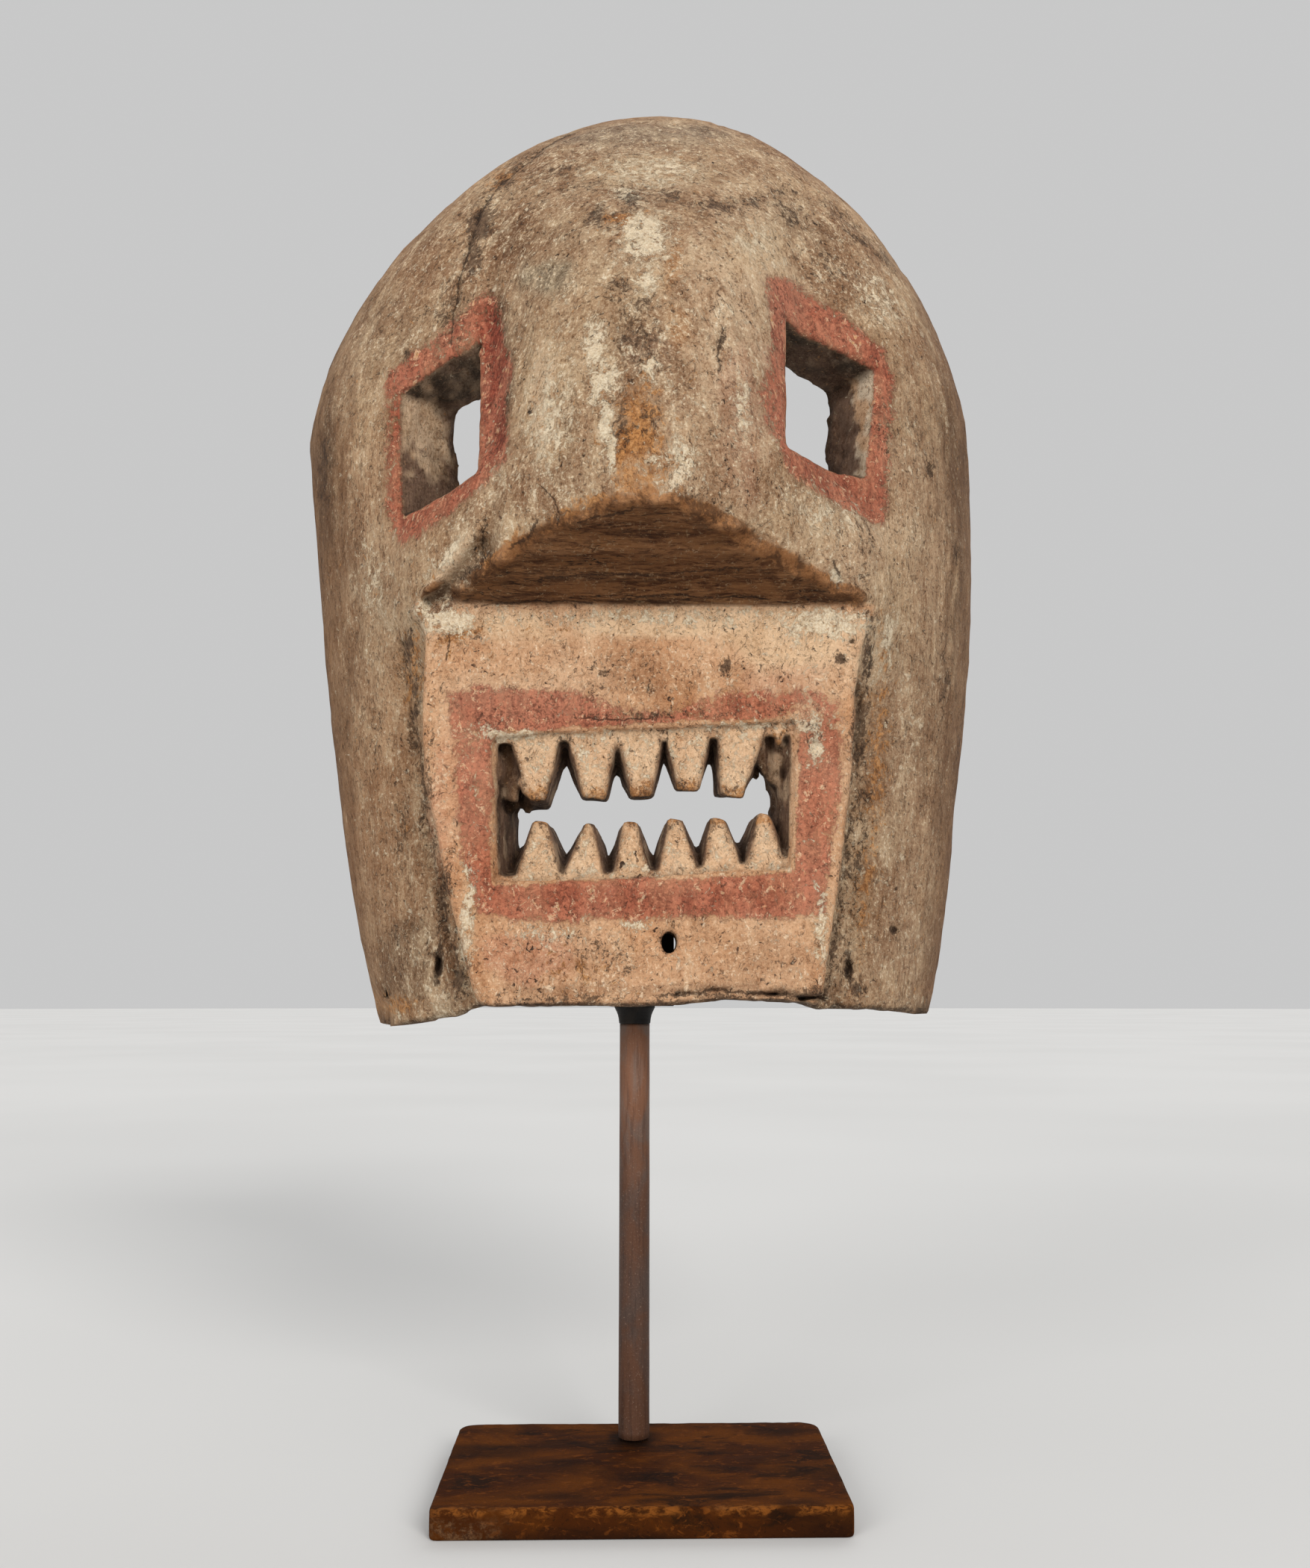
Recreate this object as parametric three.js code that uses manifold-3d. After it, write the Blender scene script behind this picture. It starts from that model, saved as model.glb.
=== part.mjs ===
// A carved wooden animal mask, hollow behind, held up by a steel rod on a steel plate.
// Millimetres, +Z up, the mask looks along -Y. The origin is the middle of the plate's underside.
import * as THREE from 'three';
import { mergeVertices } from 'three/addons/utils/BufferGeometryUtils.js';
import Module from 'manifold-3d';

const wasm = await Module();
wasm.setup();

// Stand
const PLATE_SIZE = { x: 140, y: 95, z: 10 };
const PLATE_FRONT_CORNER = 2.5;
const PLATE_BACK_CORNER = 7;
const ROD_RADIUS = 6;
const ROD_AT = { x: -2.3, y: 26.8 };
const ROD_TOP = 164.7;
const COLLAR_FOOT = 165;
const COLLAR_TOP = 172;
const COLLAR_TOP_RADIUS = 8;
const BLOCK_SIZE = { x: 30, y: 32, z: 34 };
const GAP = 0.3;

// Shell of the mask
const RIM_Y = 100;
const CENTRE_X = 3;
const CROWN_LEAN = 5;
const SHELL_FOOT = 158;
const SHOULDER_Z = 422;
const CROWN_Z = 594;
const DOME_POWER = 1.73;
const WALL = 23;
const CROWN_WALL = 24;
const HOLLOW_FRONT_Y = 10;
const HOLLOW_POWER = 2.2;
const HOLLOW_OVERSHOOT = 10;
const HOLLOW_SWELL_SHARE = 0.4;

// Each list below holds [height, size] pairs, and the size runs smoothly between them.
const HALF_WIDTH_LEFT = [[158, 114.5], [220, 129], [300, 141], [360, 146], [422, 155]];
const HALF_WIDTH_RIGHT = [[158, 121.5], [220, 133], [300, 143], [360, 148], [422, 149]];
const FRONT_Y = [[158, -4], [250, -6], [330, -16], [390, -20], [422, -18.5]];
const ROUNDNESS = [[158, 2.37], [300, 2.37], [400, 2.3], [480, 2.07], [594, 2.07]];

// The forehead swells into a blunt nose that ends in a brow edge over the mouth.
const NOSE_HEIGHT = [[270, 0], [300, 16], [345, 44], [400, 39], [440, 31], [480, 20], [520, 6], [560, 0]];
const NOSE_HALF_WIDTH_LEFT = [[300, 112], [345, 108], [390, 74], [440, 65], [594, 65]];
const NOSE_HALF_WIDTH_RIGHT = [[300, 102], [345, 98], [390, 68], [440, 60], [594, 63]];
const NOSE_FULLNESS = [[270, 1.6], [345, 1.7], [400, 2.4], [480, 2.5], [594, 2]];
const NOSE_FOOT_SOFTNESS = 1.2;

// Mouth plate
const MOUTH_PLATE_Y = -16;
const MOUTH_PLATE_TOP = 324.5;
const MOUTH_PLATE_BACK_Y = 6;
const BROW_UNDERSIDE_SLOPE = 26.5;
const BROW_CUT_REACH = 114;
const PLATE_LEFT_EDGE = [[160, -57.5], [222, -73.8], [277, -83.8], [400, -84.5]];
const PLATE_RIGHT_EDGE = [[160, 63.5], [231, 76.3], [300, 84.8], [400, 89]];
const PLATE_ROWS = [190, 222, 250, 277, 300];

// Mouth, placed by its middle; its frame is turned a little more than the bite between the teeth
const MOUTH_AT = { x: 0.8, z: 247.2 };
const FRAME_TURN = 2.6;
const FRAME_HALF = { x: 57, z: 28.3 };
const LIP_DEPTH = 3.5;
const BITE_TURN = 1;
const BITE_HALF_GAP = 5.6;
const MOUTH_BACK_HALF_X = 50;
const UPPER_NOTCHES = { count: 4, first: -30, pitch: 18.5, halfWidth: 4.8 };
const LOWER_NOTCHES = { count: 5, first: -31, pitch: 17, halfWidth: 5.6 };
const NOTCH_ROOT = 25.2;
const NOTCH_BACK_ROOT = 17.5;
const NOTCH_BACK_SHRINK = 0.55;
const MOUTH_CUT_PAST = 0.4;

// Eye holes: corners seen from the front, lower left first and clockwise
const EYE_BACK_Y = 25.5;
const EYE_CUT_PAST = 0.6;
const LEFT_EYE = {
  front: [[-95, 367.3], [-97.2, 417.4], [-65.7, 432.5], [-62, 377.6]],
  back: [[-77.2, 380], [-77.7, 419.8], [-50, 425], [-47, 386]],
};
const RIGHT_EYE = {
  front: [[54.3, 380.8], [56.9, 440], [94.6, 428.7], [91.5, 381.4]],
  back: [[40, 392], [42, 436], [78.5, 430.5], [79, 391]],
};

// Small forms
const CHIN_HOLE = { x: 10.2, z: 195.4, halfWidth: 2.9, halfHeight: 3.9, sides: 14 };
const SEAT_MARGIN = 3;
const BOTTOM_EDGE = [[-140, 161], [-100, 163.5], [-72, 168], [-60, 172], [10, 172], [30, 174.5],
  [60, 174], [68, 171.5], [90, 171.5], [140, 167]];

const U_COLUMNS = 60;
const OUTER_ROWS = 44;
const HOLLOW_COLUMNS = 30;
const HOLLOW_ROWS = 26;
const ROW_SPREAD = 1.5;
const SHORTEST_EDGE = 0.05;

// Smooth curve through [at, value] pairs, without overshoot
function curve(pairs, at) {
  const last = pairs.length - 1;
  const slope = (i) => (pairs[i + 1][1] - pairs[i][1]) / (pairs[i + 1][0] - pairs[i][0]);
  const tangent = (i) => {
    if (i === 0) return slope(0);
    if (i === last) return slope(last - 1);
    const before = slope(i - 1);
    const after = slope(i);
    return before * after <= 0 ? 0 : 2 * before * after / (before + after);
  };
  let i = 0;
  while (i < last - 1 && at > pairs[i + 1][0]) i += 1;
  const span = pairs[i + 1][0] - pairs[i][0];
  const s = THREE.MathUtils.clamp((at - pairs[i][0]) / span, 0, 1);
  const rise = s * s * (3 - 2 * s);
  return pairs[i][1] * (1 - rise) + pairs[i + 1][1] * rise
    + span * (tangent(i) * s * (1 - s) ** 2 - tangent(i + 1) * s * s * (1 - s));
}

// One at the shoulder and nought at the crown
function dome(z, crown) {
  const up = THREE.MathUtils.clamp((z - SHOULDER_Z) / (crown - SHOULDER_Z), 0, 1);
  return (1 - up ** DOME_POWER) ** (1 / DOME_POWER);
}

function centreX(z) {
  return CENTRE_X + CROWN_LEAN * THREE.MathUtils.smoothstep(z, 400, CROWN_Z);
}

// How far the forehead and nose stand out, across the face from the middle
function noseSwell(across, z) {
  const halfWidth = curve(across < 0 ? NOSE_HALF_WIDTH_LEFT : NOSE_HALF_WIDTH_RIGHT, z);
  const side = Math.min(1, Math.abs(across / halfWidth));
  const swell = (1 - side ** curve(NOSE_FULLNESS, z)) ** NOSE_FOOT_SOFTNESS;
  return curve(NOSE_HEIGHT, z) * dome(z, CROWN_Z) * swell;
}

// A U-shaped section from the right rim round the front to the left rim
function sectionU(z, columns, halfWidthOf, frontY, centreY, power, swellShare) {
  const points = [];
  for (let i = 0; i <= columns; i += 1) {
    const turn = Math.PI * i / columns;
    const c = Math.cos(turn);
    const across = Math.sign(c) * Math.abs(c) ** (2 / power) * halfWidthOf(c);
    const y = centreY - (centreY - frontY) * Math.abs(Math.sin(turn)) ** (2 / power);
    points.push(new THREE.Vector3(centreX(z) + across, y - swellShare * noseSwell(across, z), z));
  }
  return points;
}

function outerSection(z) {
  const d = dome(z, CROWN_Z);
  const halfWidthOf = (c) => d * curve(c < 0 ? HALF_WIDTH_LEFT : HALF_WIDTH_RIGHT, z);
  const frontY = RIM_Y - (RIM_Y - curve(FRONT_Y, z)) * d;
  return sectionU(z, U_COLUMNS, halfWidthOf, frontY, RIM_Y, curve(ROUNDNESS, z), 1);
}

function hollowSection(z) {
  const d = dome(z, CROWN_Z - CROWN_WALL);
  const halfWidthOf = (c) => d * (curve(c < 0 ? HALF_WIDTH_LEFT : HALF_WIDTH_RIGHT, z) - WALL);
  const back = RIM_Y + HOLLOW_OVERSHOOT;
  const frontY = back - (back - HOLLOW_FRONT_Y) * d;
  return sectionU(z, HOLLOW_COLUMNS, halfWidthOf, frontY, back, HOLLOW_POWER, HOLLOW_SWELL_SHARE);
}

// Closed skin over rings of equal count, each clockwise as seen from the last one's end.
// Each end closes on one point.
function skin(rings, footPoint, topPoint) {
  const count = rings[0].length;
  const vertices = [footPoint, ...rings.flat(), topPoint];
  const at = (row, i) => 1 + row * count + i % count;
  const triangles = [];
  for (let i = 0; i < count; i += 1) {
    triangles.push(0, at(0, i), at(0, i + 1));
    triangles.push(vertices.length - 1, at(rings.length - 1, i + 1), at(rings.length - 1, i));
    for (let row = 0; row < rings.length - 1; row += 1) {
      triangles.push(at(row, i), at(row + 1, i + 1), at(row, i + 1));
      triangles.push(at(row, i), at(row + 1, i), at(row + 1, i + 1));
    }
  }
  return asSolid(vertices, triangles);
}

function asSolid(vertices, triangles) {
  const vertProperties = new Float32Array(vertices.flatMap((v) => [v.x, v.y, v.z]));
  const triVerts = new Uint32Array(triangles);
  return new wasm.Manifold(new wasm.Mesh({ numProp: 3, vertProperties, triVerts }));
}

function solidOf(geometry) {
  const bare = geometry.clone();
  bare.deleteAttribute('normal');
  bare.deleteAttribute('uv');
  const merged = mergeVertices(bare, 1e-4);
  const vertProperties = new Float32Array(merged.attributes.position.array);
  const triVerts = new Uint32Array(merged.index.array);
  return new wasm.Manifold(new wasm.Mesh({ numProp: 3, vertProperties, triVerts }));
}

function geometryOf(solid) {
  const mesh = solid.getMesh();
  const geometry = new THREE.BufferGeometry();
  geometry.setAttribute('position', new THREE.BufferAttribute(mesh.vertProperties, 3));
  geometry.setIndex(new THREE.BufferAttribute(mesh.triVerts, 1));
  geometry.computeVertexNormals();
  return geometry;
}

// Stack of sections that thins out to the crown, with rows closer together near it
function shellSolid(sectionAt, rows, crown) {
  const rings = [];
  for (let row = 0; row < rows; row += 1) {
    const up = 1 - (1 - row / rows) ** ROW_SPREAD;
    rings.push(sectionAt(SHELL_FOOT + (crown - SHELL_FOOT) * up));
  }
  const backY = rings[0][0].y;
  const foot = new THREE.Vector3(CENTRE_X, (backY + MOUTH_PLATE_Y) / 2, SHELL_FOOT);
  return skin(rings, foot, new THREE.Vector3(centreX(crown), backY, crown));
}

// Prism between two outlines of equal count, each clockwise as seen from the front
function taperedPrism(front, back) {
  const middle = (ring) => ring.reduce((sum, p) => sum.clone().add(p)).divideScalar(ring.length);
  return skin([back, front], middle(back), middle(front));
}

function outlineAt(points, y) {
  return points.map(([x, z]) => new THREE.Vector3(x, y, z));
}

// Points given across and up from the middle of the mouth, turned by so many degrees
function mouthOutline(points, y, degrees) {
  const turn = THREE.MathUtils.degToRad(degrees);
  return points.map(([across, up]) => new THREE.Vector3(
    MOUTH_AT.x + across * Math.cos(turn) - up * Math.sin(turn),
    y,
    MOUTH_AT.z + across * Math.sin(turn) + up * Math.cos(turn),
  ));
}

// Runs the sides of a cutter on past both of its outlines
function throughCut(front, back, share) {
  const past = (from, to) => to.map((p, i) => p.clone().lerp(from[i], -share));
  return taperedPrism(past(back, front), past(front, back));
}

// Height in y of the outer face, straight behind a point seen from the front
function faceY(x, z) {
  const d = dome(z, CROWN_Z);
  const across = x - centreX(z);
  const power = curve(ROUNDNESS, z);
  const halfWidth = d * curve(across < 0 ? HALF_WIDTH_LEFT : HALF_WIDTH_RIGHT, z);
  const depth = (RIM_Y - curve(FRONT_Y, z)) * d;
  return RIM_Y - depth * (1 - Math.abs(across / halfWidth) ** power) ** (1 / power) - noseSwell(across, z);
}

// Corners across the mouth plate at one height
function plateOutline(heights, y) {
  const left = heights.map((z) => [curve(PLATE_LEFT_EDGE, z), z]);
  const right = heights.map((z) => [curve(PLATE_RIGHT_EDGE, z), z]);
  return outlineAt([...left, ...right.reverse()], y);
}

function mouthPlate() {
  const heights = [SHELL_FOOT, ...PLATE_ROWS, MOUTH_PLATE_TOP];
  return taperedPrism(plateOutline(heights, MOUTH_PLATE_Y), plateOutline(heights, MOUTH_PLATE_BACK_Y));
}

// Everything in front of the mouth plate and under the brow
function browRecess() {
  const rise = BROW_CUT_REACH * Math.tan(THREE.MathUtils.degToRad(BROW_UNDERSIDE_SLOPE));
  const heights = [SHELL_FOOT - 10, ...PLATE_ROWS];
  const back = plateOutline([...heights, MOUTH_PLATE_TOP], MOUTH_PLATE_Y);
  const front = plateOutline([...heights, MOUTH_PLATE_TOP + rise], MOUTH_PLATE_Y - BROW_CUT_REACH);
  return taperedPrism(front, back);
}

// A cut through the wall of the mouth, given by its outline on each face of the wall
function mouthCut(front, back) {
  const faceOutline = mouthOutline(front, MOUTH_PLATE_Y, BITE_TURN);
  return throughCut(faceOutline, mouthOutline(back, HOLLOW_FRONT_Y, BITE_TURN), MOUTH_CUT_PAST);
}

// The V between two teeth, cut up (side 1) or down (side -1) from the bite
function toothNotch(at, halfWidth, side) {
  const vee = (half, root) => {
    const left = [[at - half, 0], [at - half, BITE_HALF_GAP]];
    const points = [...left, [at, root], [at + half, BITE_HALF_GAP], [at + half, 0]];
    return side > 0 ? points : points.map(([across, up]) => [across, -up]).reverse();
  };
  return mouthCut(vee(halfWidth, NOTCH_ROOT), vee(halfWidth * NOTCH_BACK_SHRINK, NOTCH_BACK_ROOT));
}

function mouthCuts() {
  const box = (across, up) => [[-across, -up], [-across, up], [across, up], [across, -up]];
  const frame = box(FRAME_HALF.x, FRAME_HALF.z);
  const gap = BITE_HALF_GAP;
  const root = NOTCH_ROOT;
  const end = FRAME_HALF.x;
  const backRoot = NOTCH_BACK_ROOT;
  const backEnd = MOUTH_BACK_HALF_X;
  const cuts = [
    taperedPrism(mouthOutline(frame, MOUTH_PLATE_Y - LIP_DEPTH, FRAME_TURN),
      mouthOutline(frame, MOUTH_PLATE_Y + LIP_DEPTH, FRAME_TURN)),
    mouthCut(box(end, gap), box(backEnd, gap)),
    // Left end, over and under the bite
    mouthCut([[-end, 0], [-end, root], [-49.4, root], [-43, gap], [-43, 0]],
      [[-backEnd, 0], [-backEnd, backRoot], [-46, backRoot], [-44, gap], [-44, 0]]),
    mouthCut([[-end, -root], [-end, 0], [-42, 0], [-42, -gap], [-48.8, -root]],
      [[-backEnd, -backRoot], [-backEnd, 0], [-43.5, 0], [-43.5, -gap], [-46, -backRoot]]),
    // Right end, where the sixth upper tooth has broken off
    mouthCut([[36, 0], [36, gap], [45, root], [50, 20.5], [end, 22.5], [end, 0]],
      [[38.5, 0], [38.5, gap], [43, backRoot], [45, 16.5], [backEnd, 16.5], [backEnd, 0]]),
    mouthCut([[46.5, 0], [end, 0], [end, -root], [52.9, -root], [46.5, -gap]],
      [[45.5, 0], [backEnd, 0], [backEnd, -backRoot], [46.4, -backRoot], [45.5, -gap]]),
  ];
  for (const [row, side] of [[UPPER_NOTCHES, 1], [LOWER_NOTCHES, -1]]) {
    for (let k = 0; k < row.count; k += 1) {
      cuts.push(toothNotch(row.first + k * row.pitch, row.halfWidth, side));
    }
  }
  return cuts;
}

// A slanting eye hole that narrows inwards
function eyeCut({ front, back }) {
  const onFace = front.map(([x, z]) => new THREE.Vector3(x, faceY(x, z), z));
  return throughCut(onFace, outlineAt(back, EYE_BACK_Y), EYE_CUT_PAST);
}

function chinHole() {
  const points = [];
  for (let i = 0; i < CHIN_HOLE.sides; i += 1) {
    const turn = -2 * Math.PI * i / CHIN_HOLE.sides;
    const across = CHIN_HOLE.halfWidth * Math.cos(turn);
    points.push([CHIN_HOLE.x + across, CHIN_HOLE.z + CHIN_HOLE.halfHeight * Math.sin(turn)]);
  }
  return taperedPrism(outlineAt(points, MOUTH_PLATE_Y - 5), outlineAt(points, HOLLOW_FRONT_Y + 5));
}

// Flat seat inside the chin, where the mount block lies
function mountSeat() {
  const left = ROD_AT.x - BLOCK_SIZE.x / 2 - SEAT_MARGIN;
  const right = ROD_AT.x + BLOCK_SIZE.x / 2 + SEAT_MARGIN;
  const top = COLLAR_TOP + BLOCK_SIZE.z + SEAT_MARGIN;
  const points = [[left, SHELL_FOOT], [left, top], [right, top], [right, SHELL_FOOT]];
  return taperedPrism(outlineAt(points, HOLLOW_FRONT_Y - GAP), outlineAt(points, HOLLOW_FRONT_Y + 20));
}

function bottomTrim() {
  const low = SHELL_FOOT - 20;
  const first = BOTTOM_EDGE[0][0];
  const last = BOTTOM_EDGE[BOTTOM_EDGE.length - 1][0];
  const points = [[first, low], ...BOTTOM_EDGE, [last, low]];
  return taperedPrism(outlineAt(points, -140), outlineAt(points, 140));
}

function maskSolid() {
  let solid = shellSolid(outerSection, OUTER_ROWS, CROWN_Z).add(mouthPlate());
  const cuts = [
    shellSolid(hollowSection, HOLLOW_ROWS, CROWN_Z - CROWN_WALL),
    browRecess(),
    ...mouthCuts(),
    eyeCut(LEFT_EYE),
    eyeCut(RIGHT_EYE),
    chinHole(),
    mountSeat(),
    bottomTrim(),
  ];
  for (const cut of cuts) {
    solid = solid.subtract(cut);
  }
  return solid.simplify(SHORTEST_EDGE);
}

// A neck that flares from the rod, under a block that lies against the inside of the chin
function mountBlockSolid() {
  const profile = [
    new THREE.Vector2(0, COLLAR_FOOT),
    new THREE.Vector2(ROD_RADIUS, COLLAR_FOOT),
    new THREE.Vector2((ROD_RADIUS + COLLAR_TOP_RADIUS) / 2 - 0.4, (COLLAR_FOOT + COLLAR_TOP) / 2),
    new THREE.Vector2(COLLAR_TOP_RADIUS, COLLAR_TOP),
    new THREE.Vector2(COLLAR_TOP_RADIUS, COLLAR_TOP + 2),
    new THREE.Vector2(0, COLLAR_TOP + 2),
  ];
  const neck = new THREE.LatheGeometry(profile, 28).rotateX(Math.PI / 2);
  neck.translate(ROD_AT.x, ROD_AT.y, 0);
  const block = new THREE.BoxGeometry(BLOCK_SIZE.x, BLOCK_SIZE.y, BLOCK_SIZE.z);
  block.translate(ROD_AT.x, HOLLOW_FRONT_Y + BLOCK_SIZE.y / 2, COLLAR_TOP + BLOCK_SIZE.z / 2);
  return solidOf(neck).add(solidOf(block));
}

function rodGeometry() {
  const foot = PLATE_SIZE.z + GAP;
  const rod = new THREE.CylinderGeometry(ROD_RADIUS, ROD_RADIUS, ROD_TOP - foot, 28).rotateX(Math.PI / 2);
  return rod.translate(ROD_AT.x, ROD_AT.y, (foot + ROD_TOP) / 2);
}

function basePlateGeometry() {
  const x = PLATE_SIZE.x / 2;
  const y = PLATE_SIZE.y / 2;
  const front = PLATE_FRONT_CORNER;
  const back = PLATE_BACK_CORNER;
  const outline = new THREE.Shape();
  outline.absarc(-x + front, -y + front, front, Math.PI, 1.5 * Math.PI);
  outline.absarc(x - front, -y + front, front, 1.5 * Math.PI, 2 * Math.PI);
  outline.absarc(x - back, y - back, back, 0, 0.5 * Math.PI);
  outline.absarc(-x + back, y - back, back, 0.5 * Math.PI, Math.PI);
  return new THREE.ExtrudeGeometry(outline, { depth: PLATE_SIZE.z, bevelEnabled: false, curveSegments: 6 });
}

const paintedWood = new THREE.MeshStandardMaterial({ color: 0xbea587, roughness: 0.85, metalness: 0 });
const blackSteel = new THREE.MeshStandardMaterial({ color: 0x1c1a19, roughness: 0.6, metalness: 0.6 });
const rodSteel = new THREE.MeshStandardMaterial({ color: 0x55413d, roughness: 0.6, metalness: 0.5 });
const rustedSteel = new THREE.MeshStandardMaterial({ color: 0x4b2d0f, roughness: 0.75, metalness: 0.4 });

const group = new THREE.Group();
function place(name, geometry, material) {
  const mesh = new THREE.Mesh(geometry, material);
  mesh.name = name;
  group.add(mesh);
}

place('mask', geometryOf(maskSolid()), paintedWood);
place('mount_block', geometryOf(mountBlockSolid()), blackSteel);
place('rod', rodGeometry(), rodSteel);
place('base_plate', basePlateGeometry(), rustedSteel);

export default group;
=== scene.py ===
import itertools
import math

import bpy
import numpy as np
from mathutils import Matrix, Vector


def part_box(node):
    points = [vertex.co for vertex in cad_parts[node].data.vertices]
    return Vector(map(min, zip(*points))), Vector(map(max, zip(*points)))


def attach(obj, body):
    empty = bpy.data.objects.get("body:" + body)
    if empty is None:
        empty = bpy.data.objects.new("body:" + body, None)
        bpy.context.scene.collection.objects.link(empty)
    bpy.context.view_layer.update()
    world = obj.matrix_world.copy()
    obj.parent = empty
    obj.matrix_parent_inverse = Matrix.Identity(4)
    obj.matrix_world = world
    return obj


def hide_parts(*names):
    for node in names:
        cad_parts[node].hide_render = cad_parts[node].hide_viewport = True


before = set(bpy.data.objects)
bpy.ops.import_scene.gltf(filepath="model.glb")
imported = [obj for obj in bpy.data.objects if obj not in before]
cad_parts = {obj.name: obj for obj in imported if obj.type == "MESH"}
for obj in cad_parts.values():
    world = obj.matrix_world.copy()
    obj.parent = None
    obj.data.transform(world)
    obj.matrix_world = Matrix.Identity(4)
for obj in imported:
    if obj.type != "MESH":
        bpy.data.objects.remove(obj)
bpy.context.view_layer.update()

MM = 0.001

# Camera, in millimetres: the photograph's own view
EYE = np.array([-6.6, -542.5, 174.4])
FOCAL_PX = 1900.0
IMAGE = (1755.0, 2100.0)
PITCH = math.radians(8.65)
YAW = math.radians(1.24)
FORWARD = np.array([math.sin(YAW) * math.cos(PITCH), math.cos(YAW) * math.cos(PITCH), math.sin(PITCH)])
RIGHT = np.array([math.cos(YAW), -math.sin(YAW), 0.0])
UP = np.cross(RIGHT, FORWARD)


def seen_at(points):
    """Where points in millimetres fall in the photograph, in its pixels."""
    rel = points - EYE
    depth = rel @ FORWARD
    return (IMAGE[0] / 2 + FOCAL_PX * (rel @ RIGHT) / depth,
            IMAGE[1] / 2 - FOCAL_PX * (rel @ UP) / depth)


# Form of the mask, in millimetres
RIM_Y = 100.0
CENTRE_X = 3.0
MIDDLE_X = 2.0
CROWN_LEAN = 5.0
SHOULDER_Z = 422.0
CROWN_Z = 594.0
DOME_POWER = 1.73
WALL = 23.0
CROWN_WALL = 24.0
HOLLOW_FRONT_Y = 10.0
HOLLOW_CENTRE_Y = 110.0
HOLLOW_ROUNDNESS = 2.2
HOLLOW_NOSE_SHARE = 0.4
HALF_WIDTH_LEFT = [(158, 114.5), (220, 129), (300, 141.5), (350, 147), (422, 155)]
HALF_WIDTH_RIGHT = [(158, 121.5), (220, 133), (300, 143), (360, 148), (422, 149)]
FRONT_Y = [(158, -4), (250, -6), (330, -16), (390, -20), (422, -18.5)]
ROUNDNESS = [(158, 2.37), (300, 2.37), (400, 2.3), (480, 2.07), (594, 2.07)]
NOSE_HEIGHT = [(270, 0), (300, 16), (345, 44), (400, 39), (440, 31), (480, 20), (520, 6), (560, 0)]
NOSE_HALF_WIDTH_LEFT = [(300, 112), (345, 108), (390, 74), (440, 65), (594, 65)]
NOSE_HALF_WIDTH_RIGHT = [(300, 102), (345, 98), (390, 68), (440, 60), (594, 63)]
NOSE_FULLNESS = [(270, 1.6), (345, 1.7), (400, 2.4), (480, 2.5), (594, 2)]
# Low swellings that carry the brow's edge out to the mouth plate's corners: x, z, reach in x, reach up,
# reach down, height
BROW_SWELLS = [(-85, 327, 16, 30, 20, 6.4), (88, 325, 16, 30, 20, 7.8), (1.5, 349, 19, 24, 20, 3.4),
               (43, 338, 13, 22, 20, -3.4)]
PLATE_Y = -16.0
PLATE_TOP = 324.5
BROW_SLOPE = math.tan(math.radians(26.5))
PLATE_LEFT_EDGE = [(160, -57.5), (222, -73.8), (277, -83.8), (400, -84.5)]
PLATE_RIGHT_EDGE = [(160, 63.5), (231, 76.3), (300, 84.8), (400, 89)]
RECESS_Y = -12.5
MOUTH_BACK_Y = 12.0
MOUTH_HALF_WIDTH = 62
MOUTH_LOW = 212
MOUTH_HIGH = 282
RECESS = [(-55.1, 217.4), (-56.6, 272.8), (58.1, 279.0), (56.2, 222.3)]
OPENING = [(-54.6, 218.6), (-56.2, 271.0), (57.4, 274.4), (55.6, 224.2)]
OPENING_BACK = [(-49.2, 226), (-49.2, 268), (50.8, 271), (50.8, 229)]
# Teeth as left and right of the root, right and left of the tip, and the tip's height at the back
UPPER_TEETH = [
    ((-49.7, 270.9), (-30.4, 272.7), (-36.8, 248.8), (-42.6, 249.4), 248.0),
    ((-28.1, 270.1), (-9.9, 271.9), (-14.5, 249.4), (-22.0, 249.8), 251.4),
    ((-9.1, 271.0), (7.8, 272.8), (3.3, 251.0), (-3.4, 250.2), 252.2),
    ((9.1, 272.9), (26.2, 273.8), (21.2, 252.8), (13.8, 252.8), 255.4),
    ((28.4, 272.9), (47.6, 276.0), (37.9, 250.0), (29.1, 251.2), 253.6),
    ((49.9, 276.5), (55.0, 277.5), (53.0, 270.6), (52.2, 270.4), 271.5),
]
LOWER_TEETH = [
    ((-48.2, 218.5), (-30.2, 222.7), (-36.4, 240.4), (-40.4, 240.8), 240.4),
    ((-30.2, 220.2), (-12.9, 221.1), (-18.8, 240.2), (-20.9, 240.5), 240.0),
    ((-11.7, 220.2), (3.9, 222.0), (-2.6, 240.4), (-6.4, 240.5), 240.4),
    ((4.5, 221.1), (21.5, 222.8), (14.8, 241.6), (10.8, 241.7), 241.6),
    ((22.1, 221.4), (37.2, 223.7), (30.6, 241.4), (27.0, 241.7), 241.4),
    ((38.6, 222.9), (54.4, 224.6), (47.6, 243.2), (45.2, 243.8), 243.0),
]
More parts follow.
